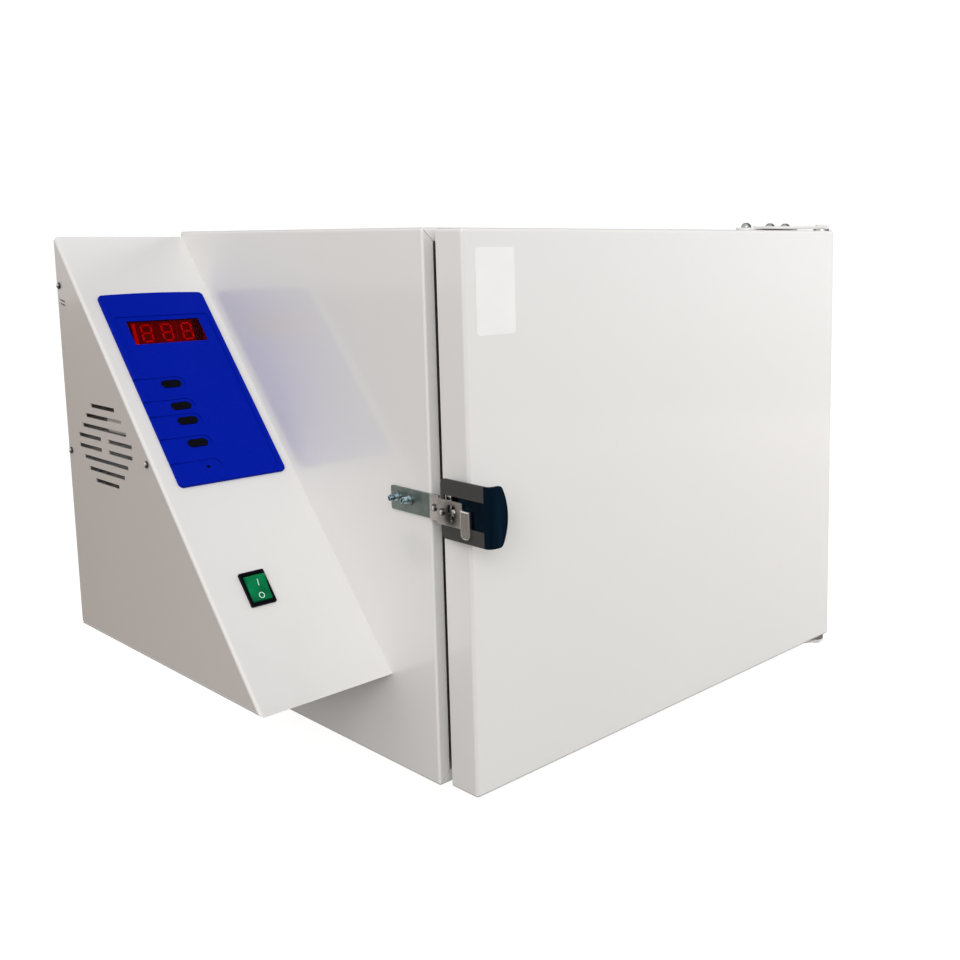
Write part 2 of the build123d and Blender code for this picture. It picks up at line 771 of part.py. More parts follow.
def make_stud_rings():
    """Push-on rings that hold the strap on its studs."""
    rings = []
    for y in stud_y:
        bore, bend = stud_r + 0.05, (stud_r + ring_r) / 2
        profile = make_face(Polyline(
            (bore, 0.5), (bore, 1.0), (bend, 0.55), (ring_r, 0.55), (ring_r, 0.0), (bend, 0.0), (bore, 0.5)
        ))
        ring = revolve(Plane.XZ * profile, Axis.Z)
        rings.append(Plane(origin=(-strap_t, y, latch_mid + 1), z_dir=(-1, 0, 0)) * ring)
    return Compound(rings)


def make_keeper():
    """Spring keeper: riveted flat, a joggle over the handle's edge, a slot and a finger."""
    flat_end = -9.0
    rise_end = -13.0
    inner = -strap_t
    outline = make_face(Polyline(
        (inner, -keeper_back), (inner, flat_end), (keeper_in, rise_end), (keeper_in, -keeper_front),
        (keeper_out, -keeper_front), (keeper_out, rise_end - 0.3), (inner - keeper_t, flat_end - 0.3),
        (inner - keeper_t, -keeper_back), (inner, -keeper_back)
    ))
    z0 = latch_mid - keeper_h / 2
    plate = Pos(0, 0, z0) * extrude(outline, keeper_h)
    side = Plane(origin=(keeper_out - 1, 0, 0), x_dir=(0, 1, 0), z_dir=(1, 0, 0))
    slot = side * make_face(Polyline(
        (-28.6, latch_mid + 0.6), (-28.6, latch_mid + 4.6), (-21.8, latch_mid + 4.6), (-21.8, latch_mid + 0.6),
        (-23.2, latch_mid + 0.6), (-23.2, latch_mid - 5), (-27.2, latch_mid - 5), (-27.2, latch_mid + 0.6),
        (-28.6, latch_mid + 0.6)
    ))
    plate -= extrude(slot, 4)
    for y, x in zip(rivet_y, (inner, keeper_in)):
        plate -= rod((x - 3, y, latch_mid), (x + 1, y, latch_mid), rivet_r)
    return plate + make_finger()


def make_finger():
    """Finger at the keeper's front: a rounded bar that the handle pushes outwards."""
    y0 = -keeper_front - finger_w
    z1 = latch_mid - finger_low + finger_h
    bar = block(keeper_out - 1.2, keeper_in, y0, -keeper_front + 0.4, latch_mid - finger_low, z1)
    bar = fillet(bar.edges().filter_by(Axis.X).group_by(Axis.Z)[0], 3.0)
    bar = fillet(bar.faces().sort_by(Axis.X)[0].edges(), 0.8)
    return bar


def make_rivets():
    """The keeper's two domed rivets."""
    rivets = []
    for y, seat, tail in zip(rivet_y, (-strap_t - keeper_t, keeper_out), (2.0, keeper_t)):
        rivets.append(pan_screw((seat, y, latch_mid), (-1, 0, 0), 2.1, 1.1, rivet_r, tail))
    return Compound(rivets)


def make_bracket():
    """Latch bracket on the door's side: a base with two lugs and a catch stud."""
    x0, x1 = door_left - bracket_t, door_left
    base = block(x0, x1, -29.3, -13.0, latch_mid - 12.5, latch_mid + 15.5)
    base = fillet(base.edges().filter_by(Axis.X), 2.0)
    for z0 in lug_heights():
        lug = block(latch_pin_x, x0, -latch_pin_y - lug_r, -latch_pin_y + lug_r, z0, z0 + 1.0)
        lug += rod((latch_pin_x, -latch_pin_y, z0), (latch_pin_x, -latch_pin_y, z0 + 1.0), lug_r)
        base += lug - rod((latch_pin_x, -latch_pin_y, z0 - 1), (latch_pin_x, -latch_pin_y, z0 + 2), latch_pin_r)
    for z in bracket_screw_places():
        base -= rod((x0 - 1, bracket_screw_y, z), (x1 + 1, bracket_screw_y, z), 1.55)
    stud = rod((x0, -25.2, latch_mid), (handle_out, -25.2, latch_mid), 2.1)
    stud = fillet(stud.faces().sort_by(Axis.X)[0].edges(), 0.9)
    return base + stud


def lug_heights():
    """Undersides of the bracket's two lugs."""
    return (window_z0 + 0.3, window_z1 - 1.3)


def make_bracket_screws():
    screws = []
    for z in bracket_screw_places():
        screws.append(pan_screw((door_left - bracket_t, bracket_screw_y, z), (-1, 0, 0), 2.4, 1.3, 1.45, 7))
    return Compound(screws)


def make_latch_pin():
    """Upright pin that the handle turns on, with a clip at each end."""
    z0, z1 = window_z0 - handle_t - 1.6, window_z1 + handle_t + 1.6
    pin = rod((latch_pin_x, -latch_pin_y, z0), (latch_pin_x, -latch_pin_y, z1), latch_pin_r)
    for z in (z0 + 0.5, z1 - 1.0):
        pin += rod((latch_pin_x, -latch_pin_y, z), (latch_pin_x, -latch_pin_y, z + 0.5), lug_r)
    return pin


def make_handle():
    """Black pull handle: a side plate with a window and a front wing bent across the door."""
    z0 = handle_mid - handle_h / 2
    outer = make_face(
        Line((handle_out, -handle_back), (handle_out, -handle_front + handle_bend))
        + RadiusArc(
            (handle_out, -handle_front + handle_bend), (handle_out + handle_bend, -handle_front), -handle_bend
        )
        + Line((handle_out + handle_bend, -handle_front), (handle_reach, -handle_front))
        + Line((handle_reach, -handle_front), (handle_reach, -handle_front + handle_t))
        + Line((handle_reach, -handle_front + handle_t), (handle_out + handle_bend, -handle_front + handle_t))
        + RadiusArc(
            (handle_out + handle_bend, -handle_front + handle_t), (handle_in, -handle_front + handle_bend),
            handle_bend - handle_t
        )
        + Line((handle_in, -handle_front + handle_bend), (handle_in, -handle_back))
        + Line((handle_in, -handle_back), (handle_out, -handle_back))
    )
    plate = Pos(0, 0, z0) * extrude(outer, handle_h)
    wing = block(-2, 20, -handle_front - 1, -handle_front + 3, z0 - 1, z0 + handle_h + 1)
    plate -= wing - wing_shape(z0)
    back_edges = [e for e in plate.edges().filter_by(Axis.X) if abs(e.center().Y + handle_back) < 0.01]
    plate = fillet(back_edges, 3.5)
    window_back = -latch_pin_y + lug_r + 0.2
    plate -= block(handle_out - 1, handle_in + 1, -handle_opening, window_back, window_z0, window_z1)
    plate -= block(
        handle_out - 1, handle_out + handle_sink, -handle_front + 6, window_back, window_z0, window_z1
    )
    for z in (window_z0 - handle_t, window_z1):
        lug = block(handle_in - 0.2, latch_pin_x, -latch_pin_y - lug_r, -latch_pin_y + lug_r, z, z + handle_t)
        lug += rod((latch_pin_x, -latch_pin_y, z), (latch_pin_x, -latch_pin_y, z + handle_t), lug_r)
        plate += lug
        plate -= rod(
            (latch_pin_x, -latch_pin_y, z - 0.5), (latch_pin_x, -latch_pin_y, z + handle_t + 0.5), latch_pin_r + 0.05
        )
    return plate


def wing_shape(z0):
    """Outline of the front wing's free edge, bulged to the right."""
    z1 = z0 + handle_h
    edge = handle_reach - handle_bow
    face = make_face(
        Line((-2, z0), (edge, z0))
        + ThreePointArc((edge, z0), (handle_reach, handle_mid), (edge, z1))
        + Line((edge, z1), (-2, z1))
        + Line((-2, z1), (-2, z0))
    )
    face = fillet(face.vertices().sort_by(Axis.X)[-2:], handle_corner_r)
    upright = Plane(origin=(0, -handle_front + 4, 0), x_dir=(1, 0, 0), z_dir=(0, -1, 0))
    return extrude(upright * face, 8)


# Control box


def wedge(inset, x0, x1, back_inset=0.0):
    """Prism of the control box's side shape, moved in by inset from its slope and floor."""
    drop = inset / cos(slant)
    z_low = box_z0 + inset
    y_front = box_front + (inset + drop) / tan(slant)
    y_back = body_d - back_inset
    z_back = box_z0 + (y_back - box_front) * tan(slant) - drop
    outline = make_face(Polyline((y_front, z_low), (y_back, z_low), (y_back, z_back), (y_front, z_low)))
    side = Plane(origin=(x0, 0, 0), x_dir=(0, 1, 0), z_dir=(1, 0, 0))
    return extrude(side * outline, x1 - x0)


def make_cover():
    """Folded cover of the control box: slanted face, floor and a narrow lip at the left."""
    whole = wedge(0, -box_w, 0)
    left = whole.faces().sort_by(Axis.X)[0]
    front_edges = [e for e in left.edges() if e.center().Y < body_d - 5]
    whole = fillet(front_edges, bend_r)
    cover = whole - wedge(sheet, -box_w + sheet, 1, -5)
    cover -= wedge(box_lip, -box_w - 1, -box_w + sheet + 1, -5)
    opening_w, opening_l = fascia_w - 2 * fascia_overlap, fascia_l - 2 * fascia_overlap
    cover -= on_slant(fascia_u, panel_mid_s, 0) * Box(opening_w, opening_l, 6)
    cover -= on_slant(switch_u, switch_s, 0) * Box(switch_w + 0.2, switch_l + 0.2, 6)
    back_cut = block(-box_w - 1, 1, body_d - sheet - fit_gap, body_d + 1, box_z0 + sheet, box_z1)
    return cover - back_cut


def side_screw_places():
    back_y = body_d - side_screw_back
    slope_y = box_front + slope_screw_share * box_d
    slope_z = box_z0 + slope_screw_share * box_h - slope_screw_drop
    return [(back_y, box_z0 + share * box_h) for share in side_screw_share] + [(slope_y, slope_z)]


def make_side_panel():
    """Left side panel, let in behind the cover's lip, with the ventilation slots."""
    panel = wedge(box_lip + 0.15, -box_w, -box_w + sheet, -5)
    panel -= block(-box_w - 1, 0, body_d - 0.1, body_d + 20, box_z0, top_z + 30)
    for row in range(-4, 4):
        z = slot_z + (row + 0.5) * slot_pitch
        half = box_d * slot_half[row if row >= 0 else -row - 1]
        cut = block(-box_w - 1, -box_w + 2, slot_y - half, slot_y + half, z - slot_h / 2, z + slot_h / 2)
        if row in (-1, 0):
            cut -= block(
                -box_w - 2, -box_w + 3, slot_y - slot_bridge, slot_y + slot_bridge, z - slot_h, z + slot_h
            )
        panel -= cut
    panel -= thin_slots()
    for y, z in side_screw_places():
        panel -= rod((-box_w - 1, y, z), (-box_w + 2, y, z), 1.6)
    return panel


def thin_slots():
    """Two thin slots near the box's top back corner, through the panel and the frame behind it."""
    cuts = []
    for row in range(2):
        z = box_z0 + thin_slot_share * box_h - row * thin_slot_pitch
        place = Pos(-box_w, body_d - thin_slot_back - thin_slot_w / 2, z) * Rot(thin_slot_fall, 0, 0)
        cuts.append(place * Box(6 * sheet, thin_slot_w, thin_slot_h))
    return Compound(cuts)


def make_side_screws():
    return Compound([
        pan_screw((-box_w, y, z), (-1, 0, 0), side_head_r, side_head_h, 1.5, 6) for y, z in side_screw_places()
    ])


def make_box_frame():
    """Flat three-sided frame behind the side panel that its screws bite into."""
    x0, x1 = -box_w + sheet, -box_w + 2 * sheet
    ring = wedge(sheet + 0.1, x0, x1, -5) - wedge(frame_ring, x0 - 1, x1 + 1, frame_ring)
    tab_z0, tab_z1 = slot_z + 1.45 * slot_pitch, slot_z + 2.7 * slot_pitch
    slope_y = box_front + (tab_z1 - box_z0) / tan(slant)
    tab = block(x0, x1, slope_y + sheet, slot_y - 4, tab_z0, tab_z1)
    ring += fillet(tab.edges().filter_by(Axis.X).group_by(Axis.Y)[-1], 3)
    ring -= block(x0 - 1, x1 + 1, body_d - sheet - fit_gap, body_d + 20, box_z0, top_z + 30)
    ring -= thin_slots()
    for y, z in side_screw_places():
        ring -= rod((x0 - 1, y, z), (x1 + 1, y, z), 1.55)
    return ring


def make_box_back():
    """Back sheet of the control box, with the hole for the cable gland."""
    y0 = body_d - sheet
    gap = sheet + 0.15
    plate = block(-box_w + gap, -0.1, y0, body_d, box_z0 + sheet + 0.1, box_z1 - 3.0)
    x, z = gland_at
    plate -= rod((x, y0 - 2, z), (x, body_d + 2, z), gland_thread + 0.05)
    tab = block(-box_w + gap + sheet, -0.1, y0 - 8, y0, box_z0 + sheet, box_z0 + 2 * sheet)
    half_w, rows, pitch = 20.0, 6, 8.0
    for i in range(rows):
        z_slot = box_z0 + 0.665 * box_h + i * pitch
        plate -= block(-box_w / 2 - half_w, -box_w / 2 + half_w, y0 - 1, body_d + 1, z_slot, z_slot + slot_h)
    return plate + tab


def make_gland():
    """Cable gland body with its hexagon and dome nut, left open for a mains lead."""
    x, z = gland_at
    inside = body_d - sheet - 8
    body = rod((x, inside, z), (x, body_d, z), gland_thread)
    out = Plane(origin=(x, body_d, z), x_dir=(1, 0, 0), z_dir=(0, 1, 0))
    body += extrude(out * RegularPolygon(11, 6), 5)
    dome = rod((x, body_d + 5, z), (x, body_d + 15, z), 9)
    dome = fillet(dome.faces().sort_by(Axis.Y)[-1].edges(), 3)
    return body + dome - rod((x, inside - 1, z), (x, body_d + 20, z), gland_bore)


def make_gland_nut():
    x, z = gland_at
    y1 = body_d - sheet
    inside = Plane(origin=(x, y1 - 4.5, z), x_dir=(1, 0, 0), z_dir=(0, 1, 0))
    nut = extrude(inside * RegularPolygon(11, 6), 4.5)
    return nut - rod((x, y1 - 6, z), (x, y1 + 1, z), gland_thread)


def make_chassis():
    """Mounting plate for the power parts, standing off the cabinet's wall on two legs."""
    y0, y1 = power_y - 28, power_y + 29
    z0, z1 = box_z0 + 6, box_z0 + 169
    plate = block(power_x, power_x + sheet, y0, y1, z0, z1)
    for z in (z0, z1 - sheet):
        plate += block(power_x, 0, y0, y1, z, z + sheet)
    return plate


def make_transformer():
    """Laminated mains transformer on the mounting plate."""
    x1, y, z = power_x, power_y, box_z0 + 34
    core = block(x1 - 22, x1, y - 22, y + 22, z - 18, z + 18)
    core -= block(x1 - 23, x1 + 1, y - 14, y - 8, z - 11, z + 11)
    core -= block(x1 - 23, x1 + 1, y + 8, y + 14, z - 11, z + 11)
    coil = block(x1 - 32, x1 - 22, y - 13.5, y + 13.5, z - 10.5, z + 10.5)
    coil = fillet(coil.edges().filter_by(Axis.X), 3)
    return core, coil


def make_relay():
    """Solid state relay block on the mounting plate."""
    x1, y, z = power_x, power_y, box_z0 + 93
    relay = block(x1 - 23, x1, y - 22, y + 22, z - 29, z + 29)
    for side in (-1, 1):
        relay -= rod((x1 - 30, y, z + side * 25), (x1 + 1, y, z + side * 25), 2.2)
    relay -= block(x1 - 24, x1 - 17, y - 23, y + 23, z + 19, z + 30)
    relay -= block(x1 - 24, x1 - 17, y - 23, y + 23, z - 30, z - 19)
    return relay


def make_terminals():
    """Row of screw terminals beside the gland."""
    x1, y, z = power_x, power_y, box_z0 + 148
    strip = block(x1 - 16, x1, y - 24, y + 24, z - 8, z + 8)
    poles = 6
    for i in range(poles):
        yc = y - 20 + i * 8
        strip -= rod((x1 - 20, yc, z + 4), (x1 - 8, yc, z + 4), 2.4)
        strip -= rod((x1 - 20, yc, z - 4), (x1 - 8, yc, z - 4), 2.4)
    return strip


# Control panel


def panel_outline():
    """Outline of the panel: round corners and a slightly bowed top edge."""
    half_w, half_l = fascia_w / 2, fascia_l / 2
    shoulder = half_l - fascia_bow
    face = make_face(
        Line((-half_w, -half_l), (half_w, -half_l)) + Line((half_w, -half_l), (half_w, shoulder))
        + ThreePointArc((half_w, shoulder), (0, half_l), (-half_w, shoulder))
        + Line((-half_w, shoulder), (-half_w, -half_l))
    )
    return fillet(face.vertices(), fascia_r)


def make_fascia():
    """Blue moulded panel: a sunk field, five shallow tabs, button holes and the window."""
    flat = extrude(panel_outline(), fascia_t)
    flat = fillet(flat.faces().sort_by(Axis.Z)[-1].edges(), fascia_edge_r)
    plate = on_slant(fascia_u, panel_mid_s, 0) * flat
    field = on_slant(fascia_u, fascia_s + field_rim + field_l / 2, fascia_t)
    plate -= field * extrude(
        RectangleRounded(fascia_w - 2 * field_rim, field_l, field_r), field_step, both=True
    )
    reach = tab_end - (fascia_u - fascia_w / 2) + tab_h
    for s in button_s + (led_s,):
        tab = on_slant(tab_end - reach / 2, s, tab_floor)
        plate -= tab * extrude(RectangleRounded(reach, tab_h, tab_h / 2 - 0.1), fascia_t)
    for s in button_s:
        plate -= on_slant(button_u, s, 0) * extrude(
            SlotOverall(button_w + 2 * button_gap, button_l + 2 * button_gap), 5, both=True
        )
    plate -= on_slant(button_u, led_s, 0) * Cylinder(led_hole_r, 10)
    plate -= on_slant(fascia_u, window_mid_s, 0) * Box(window_w, window_l, 10)
    return plate


def make_window():
    """Red filter over the display."""
    return on_slant(fascia_u, window_mid_s, lens_h) * Box(window_w - 0.2, window_l - 0.2, lens_t)


def make_display():
    """Four-digit display block behind the red filter."""
    shell = on_slant(fascia_u, window_mid_s, -display_h / 2) * Box(display_w, display_l, display_h)
    legs, leg_pitch, row_gap = 12, 4.0, 15.2
    leg_l = board_depth - board_t - display_h
    for i in range(legs):
        u = fascia_u + (i - (legs - 1) / 2) * leg_pitch
        for side in (-1, 1):
            leg = on_slant(u, window_mid_s + side * row_gap / 2, -display_h - leg_l / 2)
            shell += leg * Box(0.6, 0.6, leg_l)
    return shell


def make_board():
    """Control board behind the panel."""
    board = on_slant(fascia_u, panel_mid_s, -board_depth + board_t / 2) * Box(56, 136, board_t)
    for u, s in board_corners():
        board -= on_slant(u, s, -board_depth) * Cylinder(1.6, 6)
    chip = on_slant(-26, 200, -board_depth - 1.5) * Box(12, 30, 3)
    chip += on_slant(-26, 240, -board_depth - 5) * Box(16, 18, 10)
    return board + chip


def make_standoffs():
    """Moulded posts behind the panel, each with a peg through the board."""
    spacers = []
    length = board_depth - board_t
    for u, s in board_corners():
        post = on_slant(u, s, -length / 2) * Cylinder(2.4, length)
        peg = on_slant(u, s, -length - 1.5) * Cylinder(1.5, 3.02)
        spacers.append(post + peg)
    return Compound(spacers)


def board_corners():
    du, ds = board_corner
    return [(fascia_u + u, panel_mid_s + s) for u in (-du, du) for s in (-ds, ds)]


def make_button(s):
    """Oval push button: cap, flange behind the panel, and a stem over its key."""
    back = -1.2
    cap = extrude(SlotOverall(button_w, button_l), button_top - back)
    cap = on_slant(button_u, s, back) * chamfer(cap.faces().sort_by(Axis.Z)[-1].edges(), 0.3)
    flange = on_slant(button_u, s, back) * extrude(
        SlotOverall(button_w + 2 * button_skirt, button_l + 2 * button_skirt), -0.3 - back
    )
    stem_l = board_depth - board_t - key_h + back - button_travel - 0.05
    stem = on_slant(button_u, s, back - stem_l / 2) * Cylinder(button_stem_r, stem_l)
    return cap + flange + stem


def make_keys():
    """Four tact keys on the board, one under each button."""
    keys = []
    for s in button_s:
        base = on_slant(button_u, s, -board_depth + board_t + 1.75) * Box(6, 6, 3.5)
        keys.append(base + on_slant(button_u, s, -board_depth + board_t + key_h / 2) * Cylinder(1.7, key_h))
    return Compound(keys)


def make_led():
    """Indicator lamp behind its small hole in the panel."""
    r = 1.5
    top = -0.3
    body = on_slant(button_u, led_s, top - r - 2) * Cylinder(r, 4)
    body += on_slant(button_u, led_s, top - r) * Sphere(r)
    legs_l = board_depth - board_t + top - r - 4
    for side in (-0.7, 0.7):
        body += on_slant(button_u + side, led_s, top - r - 4 - legs_l / 2) * Box(0.5, 0.5, legs_l)
    return body


# Mains switch


def make_switch_body():
    """Switch housing: a bezel on the cover and an open box behind it with two blades."""
    bezel = extrude(RectangleRounded(bezel_w, bezel_l, bezel_r), bezel_t)
    bezel = fillet(bezel.faces().sort_by(Axis.Z)[-1].edges(), 0.5)
    well_w, well_l = rocker_w + 2 * rocker_gap, rocker_l + 2 * rocker_end_gap
    body = on_slant(switch_u, switch_s, 0) * bezel
    body += on_slant(switch_u, switch_s, -switch_depth / 2) * Box(switch_w, switch_l, switch_depth)
    body -= on_slant(switch_u, switch_s, bezel_t / 2 - 4.5) * Box(well_w, well_l, bezel_t + 9.0)
    body -= on_slant(switch_u, switch_s, rocker_axis_h) * Rot(0, 90, 0) * Cylinder(
        rocker_stub_r + 0.05, switch_w + 2
    )
    for side in (-5.5, 5.5):
        body += on_slant(switch_u, switch_s + side, -switch_depth - 3.5) * Box(6.3, 0.8, 7.2)
    return body


def make_rocker():
    """Rocker with two hollowed faces, resting with its lower end pressed in."""
    half = rocker_l / 2
    crest = 3.4
    middle = 2.2
    base = -2.6
    outline = make_face(
        Line((-half, base), (half, base))
        + Line((half, base), (half, crest))
        + ThreePointArc((half, crest), (half / 2, (crest + middle) / 2 - 0.25), (0, middle))
        + ThreePointArc((0, middle), (-half / 2, (crest + middle) / 2 - 0.25), (-half, crest))
        + Line((-half, crest), (-half, base))
    )
    section = Plane(origin=(-rocker_w / 2, 0, 0), x_dir=(0, 1, 0), z_dir=(1, 0, 0))
    rocker = extrude(section * outline, rocker_w)
    axle = Pos(0, 0, rocker_axis_h) * Rot(0, 90, 0)
    rocker &= axle * Cylinder(rocker_l / 2 + rocker_end_gap - 0.1, rocker_w + 2)
    rocker += axle * Cylinder(rocker_stub_r, switch_w - 0.4)
    tilt = Pos(0, 0, rocker_axis_h) * Rot(rocker_tilt, 0, 0) * Pos(0, 0, -rocker_axis_h)
    return on_slant(switch_u, switch_s, 0) * tilt * rocker


def build():
    """Every piece, by name."""
    core, coil = make_transformer()
    pieces = {
        "casing": make_casing(),
        "back_panel": make_back_panel(),
        "back_screws": make_back_screws(),
        "feet": make_feet(),
        "foot_screws": make_foot_screws(),
        "chamber_liner": make_liner(),
        "chamber_insulation": make_insulation(),
        "heater_element": make_heater(),
        "heater_bushings": make_heater_bushings(),
        "heater_baffle": make_baffle(),
        "shelf_runners": make_racks(),
        "shelf_lower": make_shelf(rack_levels[0]),
        "shelf_upper": make_shelf(rack_levels[1]),
        "temperature_probe": make_probe(),
        "thermal_cutout": make_cutout(),
        "vent_pipe": make_vent(),
        "hinge_plate_upper": make_hinge_plate(True),
        "hinge_plate_lower": make_hinge_plate(False),
        "hinge_pins": make_hinge_pins(),
        "hinge_screws": make_hinge_screws(),
        "door_shell": make_door_shell(),
        "door_inner_panel": make_inner_panel(),
        "door_inner_screws": make_inner_screws(),
        "door_insulation": make_door_wool(),
        "door_seal": make_seal(),
        "door_bushes": make_bushes(),
        "latch_bracket": make_bracket(),
        "latch_bracket_screws": make_bracket_screws(),
        "latch_pin": make_latch_pin(),
        "latch_handle": make_handle(),
        "keeper_strap": make_strap(),
        "keeper_studs": make_studs(),
        "keeper_rings": make_stud_rings(),
        "keeper_plate": make_keeper(),
        "keeper_rivets": make_rivets(),
        "control_cover": make_cover(),
        "control_side_panel": make_side_panel(),
        "control_side_screws": make_side_screws(),
        "control_frame": make_box_frame(),
        "control_back": make_box_back(),
        "cable_gland": make_gland(),
        "cable_gland_nut": make_gland_nut(),
        "power_chassis": make_chassis(),
        "transformer_core": core,
        "transformer_coil": coil,
        "solid_state_relay": make_relay(),
        "terminal_strip": make_terminals(),
        "fascia_panel": make_fascia(),
        "display_window": make_window(),
        "display_module": make_display(),
        "control_board": make_board(),
        "board_standoffs": make_standoffs(),
        "board_keys": make_keys(),
        "indicator_led": make_led(),
        "switch_body": make_switch_body(),
        "switch_rocker": make_rocker(),
    }
    for number, s in enumerate(button_s, start=1):
        pieces[f"button_{number}"] = make_button(s)
    return pieces


def main():
    os.makedirs("parts", exist_ok=True)
    pieces = build()
    extent = Compound([p for p in pieces.values()]).bounding_box(optimal=True)
    home = Pos(
        -(extent.min.X + extent.max.X) / 2, -(extent.min.Y + extent.max.Y) / 2, -extent.min.Z
    )
    print("outline", extent.size, "moved by", home.position)
    for name, piece in pieces.items():
        moved = home * piece
        moved.label = name
        export_step(moved, f"parts/{name}.step")
    print(len(pieces), "nodes")


main()
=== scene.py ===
"""Bench drying oven: finishes, small fittings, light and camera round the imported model."""

import json
import math

import bmesh
import bpy
from bpy.props import FloatProperty, FloatVectorProperty, IntProperty, PointerProperty
from bpy.types import Operator, Panel, PropertyGroup
from mathutils import Matrix, Vector


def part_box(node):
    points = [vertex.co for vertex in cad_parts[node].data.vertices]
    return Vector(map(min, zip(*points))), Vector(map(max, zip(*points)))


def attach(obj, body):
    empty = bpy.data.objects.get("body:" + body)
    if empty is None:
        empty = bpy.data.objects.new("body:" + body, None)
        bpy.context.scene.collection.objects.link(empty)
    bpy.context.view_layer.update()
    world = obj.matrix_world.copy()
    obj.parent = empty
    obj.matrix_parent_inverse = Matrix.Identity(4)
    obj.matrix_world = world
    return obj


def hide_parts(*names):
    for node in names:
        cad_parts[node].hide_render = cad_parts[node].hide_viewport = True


bl_info = {
    "name": "Bench drying oven",
    "version": (1, 0, 0),
    "blender": (4, 5, 0),
    "location": "View3D > Sidebar > Oven",
    "description": "Finishes a bench drying oven and lights it for a picture",
    "category": "Object",
}

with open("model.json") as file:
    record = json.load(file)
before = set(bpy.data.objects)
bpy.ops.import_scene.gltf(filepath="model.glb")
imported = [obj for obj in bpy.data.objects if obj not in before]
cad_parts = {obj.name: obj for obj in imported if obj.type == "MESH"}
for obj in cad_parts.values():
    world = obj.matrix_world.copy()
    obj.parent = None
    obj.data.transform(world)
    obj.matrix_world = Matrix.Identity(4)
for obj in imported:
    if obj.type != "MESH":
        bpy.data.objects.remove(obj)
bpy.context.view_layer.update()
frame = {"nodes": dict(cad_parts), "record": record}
MM = 0.001

# Control panel: how deep its field and its tabs are pressed
FIELD_STEP = 0.6 * MM
TAB_STEP = 0.4 * MM

# Display, on axes through the lens's middle: the block's face under it, and what lies on the block
BLOCK_DEPTH = 0.72 * MM
DIGITS_ASIDE = 0.2 * MM
DIGIT_LEAN = math.radians(8)
SEGMENT_RISE = 0.05 * MM
SEGMENT_GAP = 0.15 * MM
STRIP_RISE = 0.04 * MM
BAND_INSET = 3.0 * MM
BAND_LIFT = 0.03 * MM
SEAM_WIDTH = 0.35 * MM
LEFT_END = 1.3 * MM
END_INSET = 0.15 * MM

# Rocker's marks, on axes through its middle
BAR_PLACE = (0.7 * MM, 3.0 * MM, 0.0)
RING_PLACE = (0.3 * MM, -4.9 * MM, 0.0)
RING_NARROWER = 0.2 * MM
PRINT_GAP = 0.03 * MM
PRINT_RISE = 0.02 * MM

# Latch: where its finishes, its painted shade and its painted reflection change, from a corner or the
# middle of each piece
HANDLE_SKIN = 0.35 * MM
HANDLE_BEND = 4.6 * MM
NOTCH_END = 6.3 * MM
NOTCH_TOP = 7.8 * MM
NOTCH_FOOT = 8.2 * MM
SLOT_BACK = 16.8 * MM
SLOT_DROP = 8.0 * MM
BRACKET_SKIN = 1.3 * MM

# Finishes of the small pieces, some with painted light and shade, in linear values
# Frame zinc: its own galvanised tone, raised as painted light on its ear behind the vent slots; chassis
# zinc: darkened as painted shade inside the box
FRAME_ZINC_AND_PAINTED_LIGHT = (0.62, 0.62, 0.60)
CHASSIS_ZINC_IN_PAINTED_SHADE = (0.24, 0.235, 0.24)
# Bright zinc of the bracket's lugs and catch stud
BRIGHT_LUG_ZINC = (0.85, 0.84, 0.82)
# Threaded studs: colours of their painted shade and painted glints
STUD_PAINTED_SHADE, STUD_PAINTED_GLINT = (0.035, 0.055, 0.10), (0.55, 0.74, 0.80)
NICKEL = (0.72, 0.71, 0.68)
HINGE_NICKEL = (0.52, 0.54, 0.54)
RIVET_STEEL = (0.98, 0.97, 0.95)
SCREW_STEEL = (0.98, 0.97, 0.96)
BRASS = (0.72, 0.50, 0.20)
BLACK = (0.0012, 0.0012, 0.0035)
GREY = (0.20, 0.20, 0.21)
RUBBER = (0.02, 0.02, 0.02)
BOARD_GREEN = (0.01, 0.12, 0.04)
INDICATOR = (0.02, 0.015, 0.05)
DISPLAY_BLOCK = (0.070, 0.0002, 0.003)
DISPLAY_END = (0.006, 0.004, 0.012)
PRINT_DIM, PRINT_BRIGHT = (0.62, 0.97, 0.84), (0.72, 1.0, 0.92)
VINYL_DIM, VINYL_BRIGHT = (0.86, 0.86, 0.86), (0.90, 0.90, 0.90)
WOOL_DARK, WOOL_LIGHT = (0.30, 0.26, 0.15), (0.62, 0.57, 0.40)
COPPER_DARK, COPPER_LIGHT = (0.35, 0.10, 0.03), (0.75, 0.36, 0.10)
HEATER_DARK, HEATER_STAINED = (0.10, 0.09, 0.10), (0.32, 0.24, 0.17)

# Studio: camera, and each lamp's place, aim and size, in metres
CAMERA_PLACE = (-0.5098, -0.6220, 0.3222)
CAMERA_SHIFT = (-0.1973, -0.0897)
KEY_LAMP = (-1.4, -1.6, 1.0), (0.0, 0.0, 0.12), (1.5, 1.2)
RIGHT_LAMP = (1.2, -0.8, 0.5), (0.25, 0.0, 0.18), (0.8, 0.8)
TOP_LAMP = (0.0, -0.2, 1.9), (0.0, 0.0, 0.0), (1.4, 1.4)
FLOOR_COLOUR = (0.24, 0.22, 0.20, 1.0)
FLOOR_GLOW = 0.94
SKY_GLOW = 1.05
# Between which headings along X the background's light fades and its warm tint ends
FADE_FROM, FADE_TO = -0.3, 0.6
LEFT_SHARE, RIGHT_SHARE = 1.4, 0.32
WARM_FROM, WARM_TO = -0.6, 0.2
WARM, COOL = (1.0, 0.96, 0.93, 1.0), (0.98, 0.99, 1.0, 1.0)


